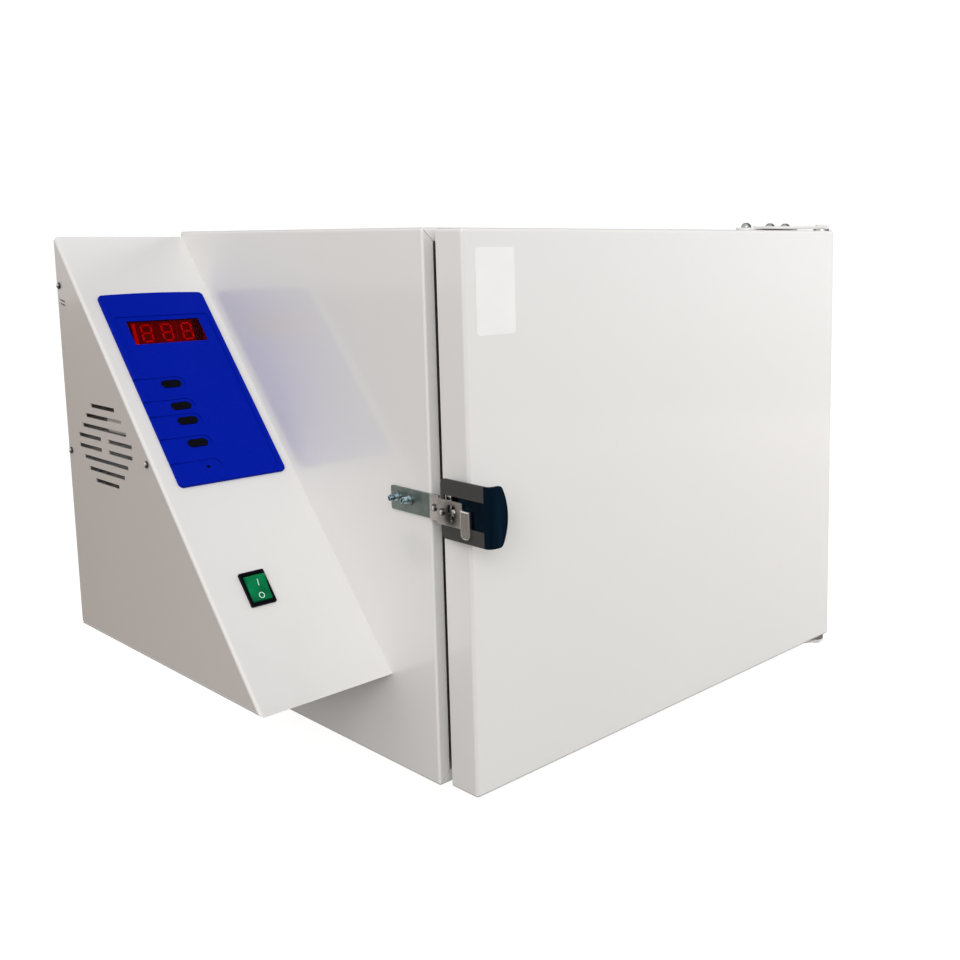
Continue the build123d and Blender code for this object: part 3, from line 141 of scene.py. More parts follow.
def colour_property(name, description, default):
    """Colour that a user can change, in linear values."""
    return FloatVectorProperty(
        name=name, description=description, subtype="COLOR", size=3, min=0.0, max=1.0, default=default
    )


def length_property(name, description, default):
    """Length in metres that a user can change."""
    return FloatProperty(
        name=name, description=description, subtype="DISTANCE", unit="LENGTH", min=0.0, precision=5,
        default=default,
    )


def watts_property(name, description, default):
    """Lamp's power that a user can change."""
    return FloatProperty(name=name, description=description, unit="POWER", min=0.0, default=default)


def angle_property(name, description, degrees):
    """Angle that a user can change."""
    return FloatProperty(
        name=name, description=description, unit="ROTATION", default=math.radians(degrees)
    )


class OvenColours(PropertyGroup):
    """Colours of the oven's finishes."""

    paint: colour_property("Paint", "Powder coat of the casing and door", (0.80, 0.795, 0.787))
    # The side panel's colour is darker than the casing's paint: painted shade
    side: colour_property("Side panel", "Powder coat of the control box's side", (0.655, 0.615, 0.59))
    panel: colour_property("Panel", "Moulded control panel", (0.0002, 0.011, 0.37))
    rocker: colour_property("Rocker", "Mains rocker switch", (0.0001, 0.185, 0.062))
    button: colour_property("Buttons", "Oval push buttons", (0.001, 0.0015, 0.005))
    lens: colour_property("Display lens", "Red filter over the display", (0.78, 0.02, 0.05))
    digit: colour_property("Digits", "Unlit segments of the display", (0.62, 0.02, 0.025))
    handle: colour_property("Handle", "Enamel of the door handle's wing", (0.0008, 0.006, 0.014))
    # The flat side's grey is a painted reflection on the black enamel
    handle_side_reflection: colour_property("Handle side", "Scuffed enamel of its flat side", (0.066, 0.064, 0.062))
    zinc: colour_property("Zinc", "Plating of the keeper strap", (0.235, 0.280, 0.262))
    steel: colour_property("Steel", "Stainless sheet", (0.56, 0.545, 0.525))
    seal: colour_property("Seal", "Silicone door seal", (0.045, 0.032, 0.028))


class OvenFittings(PropertyGroup):
    """Sizes of the small fittings that are made here."""

    label_width: length_property("Label width", "Blank sticker on the door", 27.3 * MM)
    label_height: length_property("Label height", "Blank sticker on the door", 47.4 * MM)
    label_side: length_property("Label side gap", "From the door's left edge", 8.5 * MM)
    label_top: length_property("Label top gap", "From the door's top edge", 10.2 * MM)
    digit_height: length_property("Digit height", "Display digits", 14.2 * MM)
    digit_width: length_property("Digit width", "Between the upright segments", 6.1 * MM)
    digit_pitch: length_property("Digit pitch", "From digit to digit", 13.1 * MM)
    segment_width: length_property("Segment width", "Display segments", 1.2 * MM)
    half_digit_width: length_property("Half digit width", "Bright band at the display's left", 2.2 * MM)
    display_end: length_property("Display end", "Dark end of the display block", 5.6 * MM)
    mark_height: length_property("Mark height", "On and off marks of the rocker", 3.8 * MM)
    mark_stroke: length_property("Mark stroke", "Width of the marks' lines", 0.42 * MM)
    thread_pitch: length_property("Thread pitch", "Threaded studs of the keeper", 0.7 * MM)
    recess_depth: FloatProperty(
        name="Recess depth", description="Screw recess, as a share of the head",
        subtype="FACTOR", default=0.6, min=0.1, max=0.9,
    )
    screw_sides: IntProperty(
        name="Screw sides", description="Facets round a screw's head", default=32, min=8, max=64
    )


class OvenStudio(PropertyGroup):
    """Lamps, background and camera."""

    ambient: FloatProperty(name="Ambient", description="Light from all round", default=0.57, min=0.0)
    key: watts_property("Key lamp", "Soft lamp in front, at the left, watts", 22.3)
    fill: watts_property("Right lamp", "Soft lamp in front, at the right, watts", 14.5)
    top: watts_property("Top lamp", "Soft lamp overhead, watts", 1.0)
    yaw: angle_property("Yaw", "Camera heading from +Y", 48.85)
    pitch: angle_property("Pitch", "Camera tilt down", 7.753)
    roll: angle_property("Roll", "Camera roll", -0.209)
    lens: FloatProperty(
        name="Lens", description="Focal length in millimetres", unit="CAMERA", default=42.1, min=1.0
    )


# Places worked out from the frame


def joint(name):
    """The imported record's joint of that name."""
    return next(j for j in frame["record"]["behaviour"]["joints"] if j["name"] == name)


def slant_matrix(centre):
    """Matrix whose X runs across the slanted face, Y up it and Z out of it, at a point."""
    out = -Vector(joint("button_1_press")["axis"]).normalized()
    across = Vector((1.0, 0.0, 0.0))
    up = out.cross(across)
    turn = Matrix((across, up, out)).transposed().to_4x4()
    return Matrix.Translation(centre) @ turn


def box_centre(node):
    """Middle of a node's box."""
    low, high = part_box(node)
    return (low + high) / 2


def node_shells(node):
    """Lowest and highest corner of each separate shell of a node."""
    bm = bmesh.new()
    bm.from_mesh(frame["nodes"][node].data)
    bmesh.ops.remove_doubles(bm, verts=bm.verts, dist=1e-6)
    todo = set(bm.verts)
    shells = []
    while todo:
        start = todo.pop()
        shell, edge = [start], [start]
        while edge:
            for link in edge.pop().link_edges:
                for vert in link.verts:
                    if vert in todo:
                        todo.discard(vert)
                        shell.append(vert)
                        edge.append(vert)
        low = Vector(min(v.co[i] for v in shell) for i in range(3))
        high = Vector(max(v.co[i] for v in shell) for i in range(3))
        shells.append((low, high))
    bm.free()
    return sorted(shells, key=lambda s: tuple(s[0]))


# Mesh helpers


def as_object(bm, name, material, smooth_angle=None):
    """New object from a bmesh, with one material, at the origin."""
    bmesh.ops.recalc_face_normals(bm, faces=bm.faces)
    mesh = bpy.data.meshes.new(name)
    bm.to_mesh(mesh)
    bm.free()
    mesh.materials.append(material)
    if smooth_angle is not None:
        mesh.shade_smooth()
        mesh.set_sharp_from_angle(angle=math.radians(smooth_angle))
    obj = bpy.data.objects.new(name, mesh)
    bpy.context.collection.objects.link(obj)
    return obj


def fit_piece(obj, body, slot, *nodes):
    """The piece rides on a body and stands for the nodes; slot is not used."""
    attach(obj, body)
    if nodes:
        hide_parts(*nodes)


def pour(piece, bm):
    """Adds one bmesh to another, and frees it."""
    scratch = bpy.data.meshes.new("scratch")
    piece.to_mesh(scratch)
    piece.free()
    bm.from_mesh(scratch)
    bpy.data.meshes.remove(scratch)


def boolean_cut(obj, cutter):
    """Cuts one object's mesh out of another's, and removes the cutter."""
    cut = obj.modifiers.new("cut", "BOOLEAN")
    cut.operation = "DIFFERENCE"
    cut.solver = "EXACT"
    cut.object = cutter
    bpy.context.view_layer.update()
    result = bpy.data.meshes.new_from_object(obj.evaluated_get(bpy.context.evaluated_depsgraph_get()))
    obj.modifiers.clear()
    old = obj.data
    obj.data = result
    bpy.data.meshes.remove(old)
    bpy.data.objects.remove(cutter)


def rounded_plate(bm, width, height, depth, corner, place):
    """Flat plate with rounded corners, its back on the plane of place."""
    others = set(bm.verts)
    made = bmesh.ops.create_grid(bm, x_segments=1, y_segments=1, size=0.5)["verts"]
    bmesh.ops.scale(bm, verts=made, vec=(width, height, 1.0))
    bmesh.ops.bevel(
        bm, geom=made, offset=corner, offset_type="OFFSET", segments=8, profile=0.5,
        affect="VERTICES", material=-1,
    )
    face = next(f for f in bm.faces if others.isdisjoint(f.verts))
    risen = bmesh.ops.extrude_face_region(bm, geom=[face])["geom"]
    top = [v for v in risen if isinstance(v, bmesh.types.BMVert)]
    bmesh.ops.translate(bm, verts=top, vec=(0, 0, depth))
    bmesh.ops.transform(bm, matrix=place, verts=[v for v in bm.verts if v not in others])


# Material helpers


class Shades:
    """One material's node tree, with short ways to add what the finishes share."""

    def __init__(self, name):
        self.material = bpy.data.materials.new(name)
        self.material.use_nodes = True
        self.nodes = self.material.node_tree.nodes
        self.links = self.material.node_tree.links
        self.shader = self.nodes["Principled BSDF"]
        self.coords = self.nodes.new("ShaderNodeTexCoord").outputs["Object"]

    def constant(self, socket, value):
        """A constant on one of the shader's sockets."""
        if hasattr(value, "__len__"):
            value = (*value, 1.0)
        self.shader.inputs[socket].default_value = value

    def stretched(self, scale):
        """Object coordinates stretched along the axes."""
        mapping = self.nodes.new("ShaderNodeMapping")
        mapping.inputs["Scale"].default_value = scale
        self.links.new(self.coords, mapping.inputs["Vector"])
        return mapping.outputs["Vector"]

    def noise(self, scale, detail=2.0, vector=None):
        """Noise height from 0 to 1."""
        node = self.nodes.new("ShaderNodeTexNoise")
        node.inputs["Scale"].default_value = scale
        node.inputs["Detail"].default_value = detail
        self.links.new(vector or self.coords, node.inputs["Vector"])
        return node.outputs["Fac"]

    def spread(self, value, low=0.0, high=1.0, middle=0.5, width=0.25):
        """Maps a height round the middle to a range of values."""
        node = self.nodes.new("ShaderNodeMapRange")
        node.inputs["From Min"].default_value = middle - width
        node.inputs["From Max"].default_value = middle + width
        node.inputs["To Min"].default_value = low
        node.inputs["To Max"].default_value = high
        self.links.new(value, node.inputs["Value"])
        return node.outputs["Result"]

    def coordinate(self, axis):
        """One of the Object coordinates."""
        apart = self.nodes.new("ShaderNodeSeparateXYZ")
        self.links.new(self.coords, apart.inputs["Vector"])
        return apart.outputs[axis]

    def below(self, value, level, blur=0.02 * MM):
        """One where a value is under a level, and nothing over it."""
        return self.spread(value, 1.0, 0.0, level, blur)

    def between(self, value, low, high, blur=0.02 * MM):
        """One where a value is between two levels, and nothing past them."""
        return self.combined("SUBTRACT", self.below(value, high, blur), self.below(value, low, blur))

    def along(self, way):
        """How far a point lies along a direction."""
        node = self.nodes.new("ShaderNodeVectorMath")
        node.operation = "DOT_PRODUCT"
        self.links.new(self.coords, node.inputs[0])
        node.inputs[1].default_value = way
        return node.outputs["Value"]

    def combined(self, operation, first, second):
        """Two values put together by a maths operation."""
        node = self.nodes.new("ShaderNodeMath")
        node.operation = operation
        self.links.new(first, node.inputs[0])
        self.links.new(second, node.inputs[1])
        return node.outputs["Value"]

    def off_axis(self, out, points):
        """Distance to the nearest of the lines that run along out through the points."""
        flat = tuple(0.0 if abs(w) > 0.5 else 1.0 for w in out)
        flattened = self.stretched(flat)
        nearest = None
        for point in points:
            node = self.nodes.new("ShaderNodeVectorMath")
            node.operation = "DISTANCE"
            self.links.new(flattened, node.inputs[0])
            node.inputs[1].default_value = tuple(f * p for f, p in zip(flat, point))
            gap = node.outputs["Value"]
            nearest = gap if nearest is None else self.combined("MINIMUM", nearest, gap)
        return nearest

    def mixed(self, value, first, second):
        """Colour that runs from one to another with a height; the first may be a mix itself."""
        node = self.nodes.new("ShaderNodeMix")
        node.data_type = "RGBA"
        if isinstance(first, bpy.types.NodeSocket):
            self.links.new(first, node.inputs[6])
        else:
            node.inputs[6].default_value = (*first, 1.0)
        node.inputs[7].default_value = (*second, 1.0)
        self.links.new(value, node.inputs["Factor"])
        return node.outputs[2]

    def vary_colour(self, value, first, second):
        """Base colour that runs between two colours with a height."""
        self.links.new(self.mixed(value, first, second), self.shader.inputs["Base Color"])

    def vary(self, socket, value):
        """Links a changing value to one of the shader's sockets."""
        self.links.new(value, self.shader.inputs[socket])

    def relief(self, height, distance, strength=1.0):
        """Bump whose height is in metres."""
        node = self.nodes.new("ShaderNodeBump")
        node.inputs["Strength"].default_value = strength
        node.inputs["Distance"].default_value = distance
        self.links.new(height, node.inputs["Height"])
        self.links.new(node.outputs["Normal"], self.shader.inputs["Normal"])


def tinted(colour, factor):
    """A colour made lighter or darker."""
    return tuple(min(1.0, c * factor) for c in colour)


def powder_coat(name, colour):
    """Glossy white powder coat with a fine orange peel."""
    shades = Shades(name)
    patches = shades.spread(shades.noise(6.0, 3.0), width=0.5)
    shades.vary_colour(patches, tinted(colour, 0.98), tinted(colour, 1.015))
    shades.vary("Roughness", shades.spread(shades.noise(14.0, 3.0), 0.24, 0.36, width=0.5))
    shades.relief(shades.noise(420.0, 1.5), 0.00003, 0.12)
    shades.constant("Coat Weight", 0.55)
    shades.constant("Coat Roughness", 0.07)
    return shades.material


def brushed_steel(name, colour, stretch, roughness=0.30):
    """Stainless sheet with fine lines along one axis."""
    shades = Shades(name)
    lines = shades.noise(1.0, 3.0, shades.stretched(stretch))
    shades.vary_colour(shades.spread(lines), tinted(colour, 0.88), tinted(colour, 1.08))
    shades.vary("Roughness", shades.spread(lines, roughness - 0.06, roughness + 0.08))
    shades.relief(lines, 0.00002, 0.5)
    shades.constant("Metallic", 1.0)
    return shades.material


def zinc_plate(colour):
    """Zinc plating with cloudy, slightly green spangles."""
    shades = Shades("zinc plating")
    clouds = shades.noise(160.0, 4.0)
    shades.vary_colour(shades.spread(clouds), tinted(colour, 0.75), tinted(colour, 1.15))
    shades.vary("Roughness", shades.spread(shades.noise(420.0, 3.0), 0.28, 0.48))
    shades.relief(shades.noise(900.0), 0.00002, 0.4)
    shades.constant("Metallic", 1.0)
    return shades.material


def bright_metal(name, colour, roughness=0.22):
    """Plated screws, pins and rings."""
    shades = Shades(name)
    shades.vary_colour(shades.spread(shades.noise(300.0)), tinted(colour, 0.9), colour)
    shades.vary("Roughness", shades.spread(shades.noise(700.0), roughness - 0.05, roughness + 0.1))
    shades.constant("Metallic", 1.0)
    return shades.material


def domed_metal(name, colour, out, radius, shells, bright=0.50):
    """Plated screw or rivet heads with a painted highlight over a share of the radius that fades to
    painted shade at the rim.
    """
    shades = Shades(name)
    centres = [(low + high) / 2 for low, high in shells]
    fade = radius * 0.2
    # Painted highlight in the middle of each head, painted shade towards its rim
    rim = shades.spread(shades.off_axis(out, centres), middle=radius * bright + fade, width=fade)
    shades.vary_colour(rim, colour, tinted(colour, 0.08))
    shades.vary("Roughness", shades.spread(shades.noise(700.0), 0.14, 0.26))
    shades.constant("Metallic", 1.0)
    return shades.material


def stud_plating():
    """Bluish zinc of the threaded studs, with sharp painted glints and painted shade."""
    shades = Shades("stud plating")
    # Painted glints and painted shade in small patches
    painted_glints = shades.spread(shades.noise(420.0), width=0.10)
    shades.vary_colour(painted_glints, STUD_PAINTED_SHADE, STUD_PAINTED_GLINT)
    shades.constant("Roughness", 0.16)
    shades.constant("Metallic", 1.0)
    return shades.material


def keeper_steel(colour):
    """Bright spring steel, with painted shade in a round about the keeper's slot, standing in for a
    shallow dish in the plate.
    """
    shades = Shades("keeper steel")
    low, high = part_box("keeper_plate")
    slot = Vector((0.0, low.y + SLOT_BACK, high.z - SLOT_DROP))
    # Painted shade about the slot
    painted_slot_shade = shades.below(shades.off_axis((1, 0, 0), [slot]), 6.2 * MM, 2.4 * MM)
    shades.vary_colour(painted_slot_shade, tinted(colour, 1.45), tinted(colour, 0.20))
    lines = shades.noise(1.0, 3.0, shades.stretched((1200.0, 25.0, 1200.0)))
    shades.vary("Roughness", shades.spread(lines, 0.20, 0.28))
    shades.relief(lines, 0.00001, 0.1)
    shades.constant("Metallic", 1.0)
    return shades.material


def bracket_zinc(colour):
    """Zinc of the latch bracket: its base darkened by painted shade between door and handle, its lugs
    and catch stud bright.
    """
    shades = Shades("bracket zinc")
    low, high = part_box("latch_bracket")
    # Painted shade on the base plate, which lies between door and handle; the lugs and catch stud stay
    # bright
    base = shades.below(shades.coordinate("X"), high.x - BRACKET_SKIN)
    shades.vary_colour(base, tinted(colour, 0.15), BRIGHT_LUG_ZINC)
    shades.vary("Roughness", shades.spread(shades.noise(420.0, 3.0), 0.22, 0.36))
    shades.constant("Metallic", 1.0)
    return shades.material


def black_enamel(wing, side):
    """Gloss enamel of the pull handle, with a grey painted reflection on its flat side."""
    shades = Shades("black enamel")
    low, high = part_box("latch_handle")
    depth, height = shades.coordinate("Y"), shades.coordinate("Z")
    middle = (low.z + high.z) / 2
    outside = shades.below(shades.coordinate("X"), low.x + HANDLE_SKIN)
    straight = shades.between(depth, low.y + HANDLE_BEND, high.y)
    level = shades.between(height, middle - NOTCH_FOOT, middle + NOTCH_TOP)
    notch = shades.combined("MULTIPLY", level, shades.below(depth, low.y + NOTCH_END))
    # Painted reflection: grey on the flat side, outside the notch
    painted_reflection = shades.combined("SUBTRACT", shades.combined("MULTIPLY", outside, straight), notch)
    streaks = shades.spread(shades.noise(1.0, 2.0, shades.stretched((420.0, 60.0, 12.0))), width=0.2)
    streaked = shades.mixed(streaks, tinted(wing, 0.45), tinted(wing, 2.0))
    shades.vary_colour(painted_reflection, streaked, side)
    shades.vary("Roughness", shades.spread(shades.noise(60.0, 3.0), 0.18, 0.28))
    shades.relief(shades.noise(300.0), 0.00002, 0.2)
    shades.constant("Specular IOR Level", 0.05)
    shades.constant("Coat Weight", 0.05)
    shades.constant("Coat Roughness", 0.05)
    return shades.material


def moulded_plastic(name, colour, roughness, grain=0.00002, shine=0.5, coat=0.0):
    """Moulded plastic with a fine spark grain."""
    shades = Shades(name)
    shades.constant("Specular IOR Level", shine)
    shades.vary_colour(shades.spread(shades.noise(25.0)), tinted(colour, 0.96), tinted(colour, 1.05))
    gloss = shades.spread(shades.noise(180.0, 3.0), roughness - 0.04, roughness + 0.05)
    shades.vary("Roughness", gloss)
    shades.relief(shades.noise(2600.0), grain, 0.15)
    if coat:
        shades.constant("Coat Weight", coat)
        shades.constant("Coat Roughness", 0.08)
    return shades.material


def embossed_plastic(colour):
    """Blue plastic of the control panel, with painted shade where its pressed fields step down."""
    shades = Shades("blue panel")
    out = slant_matrix(Vector()).to_3x3() @ Vector((0, 0, 1))
    face = max(out.dot(v.co) for v in frame["nodes"]["fascia_panel"].data.vertices)
    field = face - FIELD_STEP
    tab = field - TAB_STEP
    clear = 0.03 * MM
    # Painted shade on the steps between the tabs and the field
    painted_step_shade = shades.between(shades.along(out), tab + clear, field - clear, 0.01 * MM)
    patches = shades.mixed(shades.noise(25.0), tinted(colour, 0.96), tinted(colour, 1.04))
    shades.vary_colour(painted_step_shade, patches, tinted(colour, 0.30))
    shades.vary("Roughness", shades.spread(shades.noise(180.0, 3.0), 0.26, 0.35))
    shades.relief(shades.noise(2600.0), 0.00002, 0.15)
    shades.constant("Specular IOR Level", 0.03)
    return shades.material


def clear_green(colour):
    """Translucent green plastic of the rocker, in patches of painted highlight and painted shade."""
    shades = Shades("green rocker")
    # Patches of painted highlight and painted shade
    patches = shades.spread(shades.noise(95.0, 1.0), width=0.18)
    shades.vary_colour(patches, tinted(colour, 0.62), tinted(colour, 1.30))
    shades.constant("Roughness", 0.15)
    shades.constant("Specular IOR Level", 0.08)
    return shades.material


def glowing_plastic(name, colour, glow):
    """Display plastic with a painted glow, standing in for the light that shows its colour through the
    dark filter.
    """
    shades = Shades(name)
    shades.vary_colour(shades.spread(shades.noise(400.0)), tinted(colour, 0.8), colour)
    shades.constant("Roughness", 0.5)
    # Painted glow; the display is not lit
    shades.constant("Emission Color", colour)
    shades.constant("Emission Strength", glow)
    return shades.material


def soft_rubber(name, colour):
    """Dull rubber or silicone."""
    shades = Shades(name)
    shades.vary_colour(shades.spread(shades.noise(80.0, 3.0)), tinted(colour, 0.8), tinted(colour, 1.2))
    shades.relief(shades.noise(900.0, 3.0), 0.00005, 0.4)
    shades.constant("Roughness", 0.72)
    return shades.material


def mineral_wool():
    """Matted fibres of the insulation."""
    shades = Shades("mineral wool")
    fibres = shades.noise(1.0, 6.0, shades.stretched((900.0, 350.0, 900.0)))
    shades.vary_colour(shades.spread(fibres), WOOL_DARK, WOOL_LIGHT)
    shades.relief(fibres, 0.0006, 0.9)
    shades.constant("Roughness", 0.95)
    return shades.material


def display_lens(colour):
    """Clear red filter."""
    shades = Shades("red filter")
    shades.constant("Base Color", colour)
    shades.constant("Roughness", 0.04)
    shades.constant("Transmission Weight", 1.0)
    shades.constant("Specular IOR Level", 0.05)
    shades.constant("IOR", 1.1)
    shades.relief(shades.noise(90.0), 0.00001, 0.15)
    return shades.material


def wound_wire():
    """Lacquered copper winding under yellow tape."""
    shades = Shades("winding")
    turns = shades.noise(1.0, 1.0, shades.stretched((4.0, 4.0, 1800.0)))
    shades.vary_colour(shades.spread(turns), COPPER_DARK, COPPER_LIGHT)
    shades.relief(turns, 0.0002, 0.8)
    shades.constant("Roughness", 0.4)
    return shades.material


def sheathed_heater():
    """Heat-stained steel sheath of the heater."""
    shades = Shades("heater sheath")
    stain = shades.noise(30.0, 4.0)
    shades.vary_colour(shades.spread(stain), HEATER_DARK, HEATER_STAINED)
    shades.vary("Roughness", shades.spread(stain, 0.35, 0.6))
    shades.constant("Metallic", 1.0)
    return shades.material


def give(material, *nodes):
    """Sets the finish of CAD nodes."""
    for name in nodes:
        obj = frame["nodes"][name]
        for slot in obj.material_slots:
            slot.material = material
        if not obj.material_slots:
            obj.data.materials.append(material)


# Operators


class OVEN_OT_paint(Operator):
    """Powder coat on the casing, door, hinge plates and control box"""

    bl_idname = "oven.paint"
    bl_label = "Paint the sheet metal"

    def execute(self, context):
        colours = context.scene.oven_colours
        give(
            powder_coat("white powder coat", tuple(colours.paint)),
            "casing", "back_panel", "door_shell", "hinge_plate_upper", "hinge_plate_lower", "hinge_pins",
            "control_cover", "control_back",
        )
        # The side panel's darker coat is painted shade
        give(powder_coat("powder coat in painted shade", tuple(colours.side)), "control_side_panel")
        return {"FINISHED"}


class OVEN_OT_metals(Operator):
    """Finishes of the bare and plated metal pieces"""

    bl_idname = "oven.metals"
    bl_label = "Finish the metals"

    def execute(self, context):
        colours = context.scene.oven_colours
        steel = tuple(colours.steel)
        upright = brushed_steel("stainless, brushed upright", steel, (900.0, 900.0, 12.0))
        give(upright, "chamber_liner", "door_inner_panel", "heater_baffle", "shelf_runners", "vent_pipe")
        give(keeper_steel(steel), "keeper_plate")
        zinc = tuple(colours.zinc)
        give(zinc_plate(zinc), "keeper_strap", "keeper_rings")
        # Lighter frame and darker chassis: painted light and painted shade inside the box
        give(bright_metal("galvanised frame", FRAME_ZINC_AND_PAINTED_LIGHT, 0.45), "control_frame")
        give(bright_metal("galvanised sheet", CHASSIS_ZINC_IN_PAINTED_SHADE, 0.5), "power_chassis")
        give(bracket_zinc(zinc), "latch_bracket")
        give(
            bright_metal("nickel plating", NICKEL),
            "door_bushes", "latch_pin", "temperature_probe", "shelf_lower", "shelf_upper", "foot_screws",
        )
        rivets = node_shells("keeper_rivets")
        # Rivet heads with painted highlight and painted shade
        give(domed_metal("rivet steel", RIVET_STEEL, (1, 0, 0), 2.1 * MM, rivets, 0.3), "keeper_rivets")
        give(bright_metal("brass", BRASS, 0.3), "heater_bushings")
        give(black_enamel(tuple(colours.handle), tuple(colours.handle_side_reflection)), "latch_handle")
        give(sheathed_heater(), "heater_element", "transformer_core")
        return {"FINISHED"}


class OVEN_OT_plastics(Operator):
    """Finishes of the moulded pieces, rubber and insulation"""

    bl_idname = "oven.plastics"
    bl_label = "Finish the plastics and rubber"

    def execute(self, context):
        colours = context.scene.oven_colours
        give(embossed_plastic(tuple(colours.panel)), "fascia_panel", "board_standoffs")
        black = moulded_plastic("black plastic", BLACK, 0.38, shine=0.06)
        give(black, "switch_body", "cable_gland", "cable_gland_nut", "board_keys")
        # The display block has a painted glow
        give(glowing_plastic("display block", DISPLAY_BLOCK, 0.6), "display_module")
        buttons = ("button_1", "button_2", "button_3", "button_4")
        give(moulded_plastic("button", tuple(colours.button), 0.25, 0.00001, 0.06), *buttons)
        give(clear_green(tuple(colours.rocker)), "switch_rocker")
        give(moulded_plastic("indicator", INDICATOR, 0.15, 0.000005, 0.3, 0.3), "indicator_led")
        grey = moulded_plastic("grey plastic", GREY, 0.5)
        give(grey, "thermal_cutout", "solid_state_relay", "terminal_strip")
        give(moulded_plastic("circuit board", BOARD_GREEN, 0.35), "control_board")
        give(soft_rubber("black rubber", RUBBER), "feet")
        give(soft_rubber("silicone", tuple(colours.seal)), "door_seal")
        give(mineral_wool(), "chamber_insulation", "door_insulation")
        give(wound_wire(), "transformer_coil")
        give(display_lens(tuple(colours.lens)), "display_window")
        return {"FINISHED"}


def dome_head(sides, radius, height, recess):
    """Domed head with a cross recess, its seat at the origin and its top along +Z."""
    rim = height * 0.35
    cap = height - rim
    ball = (radius**2 + cap**2) / (2 * cap)
    bm = bmesh.new()
    steps = 7
    points = [(0.0, 0.0), (radius * 0.97, 0.0), (radius, height * 0.06), (radius, rim)]
    for i in range(1, steps):
        x = radius * (1 - i / steps)
        points.append((x, height - ball + math.sqrt(ball**2 - x**2)))
    points.append((0.0, height))
    verts = [bm.verts.new((x, 0.0, z)) for x, z in points]
    edges = [bm.edges.new(pair) for pair in zip(verts, verts[1:])]
    bmesh.ops.spin(
        bm, geom=verts + edges, cent=(0, 0, 0), axis=(0, 0, 1), angle=math.tau, steps=sides,
        use_merge=True,
    )
    bmesh.ops.remove_doubles(bm, verts=bm.verts, dist=1e-7)
    head = as_object(bm, "screw head", None, 35)
    for turn in (0.0, math.pi / 2):
        bm = bmesh.new()
        made = bmesh.ops.create_cube(bm, size=1.0)["verts"]
        bmesh.ops.scale(bm, verts=made, vec=(radius * 1.15, radius * 0.26, height))
        deep = [v for v in made if v.co.z < 0]
        bmesh.ops.scale(bm, verts=deep, vec=(0.55, 0.8, 1.0))
        bmesh.ops.rotate(bm, verts=made, cent=(0, 0, 0), matrix=Matrix.Rotation(turn, 3, "Z"))
        bmesh.ops.translate(bm, verts=made, vec=(0, 0, height * (1.5 - recess)))
        boolean_cut(head, as_object(bm, "recess", None))
    return head


def add_screws(context, name, node, out, radius, height, body, plating):
    """Screws with cross recesses in the places of a CAD node's plain screws."""
    fittings = context.scene.oven_fittings
    out = Vector(out)
    head = dome_head(fittings.screw_sides, radius, height, fittings.recess_depth)
    bm = bmesh.new()
    shells = node_shells(node)
    for number, (low, high) in enumerate(shells):
        centre = (low + high) / 2
        reach = (high - low) / 2
        # The lower hinge plate's screws point down
        way = out if abs(out.z) < 0.5 or centre.z > 0.1 else -out
        turned = way.to_track_quat("Z", "Y").to_matrix().to_4x4()
        top = centre + Vector(abs(r) * w for r, w in zip(reach, way))
        seat = top - way * height
        # Each recess stands at another angle
        spin = Matrix.Rotation(0.6 + 1.1 * number, 4, "Z")
        piece = bmesh.new()
        piece.from_mesh(head.data)
        shank = bmesh.ops.create_cone(
            piece, cap_ends=True, segments=12, radius1=radius * 0.5, radius2=radius * 0.5,
            depth=height * 2,
        )
        bmesh.ops.translate(piece, verts=shank["verts"], vec=(0, 0, -height * 0.99))
        bmesh.ops.transform(piece, matrix=Matrix.Translation(seat) @ turned @ spin, verts=piece.verts)
        pour(piece, bm)
    bpy.data.objects.remove(head)
    # Screw heads with painted highlight and painted shade, unless another plating is given
    plating = plating or domed_metal(name + " plating", SCREW_STEEL, out, radius, shells)
    fit_piece(as_object(bm, name, plating, 35), body, "screw_steel", node)


class OVEN_OT_screws(Operator):
    """Domed screws with cross recesses"""

    bl_idname = "oven.screws"
    bl_label = "Add the screws"

    def execute(self, context):
        left, back, up = (-1, 0, 0), (0, 1, 0), (0, 0, 1)
        nickel = bright_metal("hinge screw plating", HINGE_NICKEL, 0.14)
        # Name, node, way out, radius, height, body and plating of each kind
        kinds = (
            ("hinge_screw_heads", "hinge_screws", up, 3.75 * MM, 3.7 * MM, "cabinet", nickel),
            ("side_screw_heads", "control_side_screws", left, 2.2 * MM, 1.8 * MM, "cabinet", None),
            ("back_screw_heads", "back_screws", back, 2.8 * MM, 1.9 * MM, "cabinet", None),
            ("inner_door_screw_heads", "door_inner_screws", back, 2.7 * MM, 1.8 * MM, "door", None),
            ("bracket_screw_heads", "latch_bracket_screws", left, 2.4 * MM, 1.3 * MM, "door", None),
        )
        for *kind, plating in kinds:
            add_screws(context, *kind, plating)
        return {"FINISHED"}


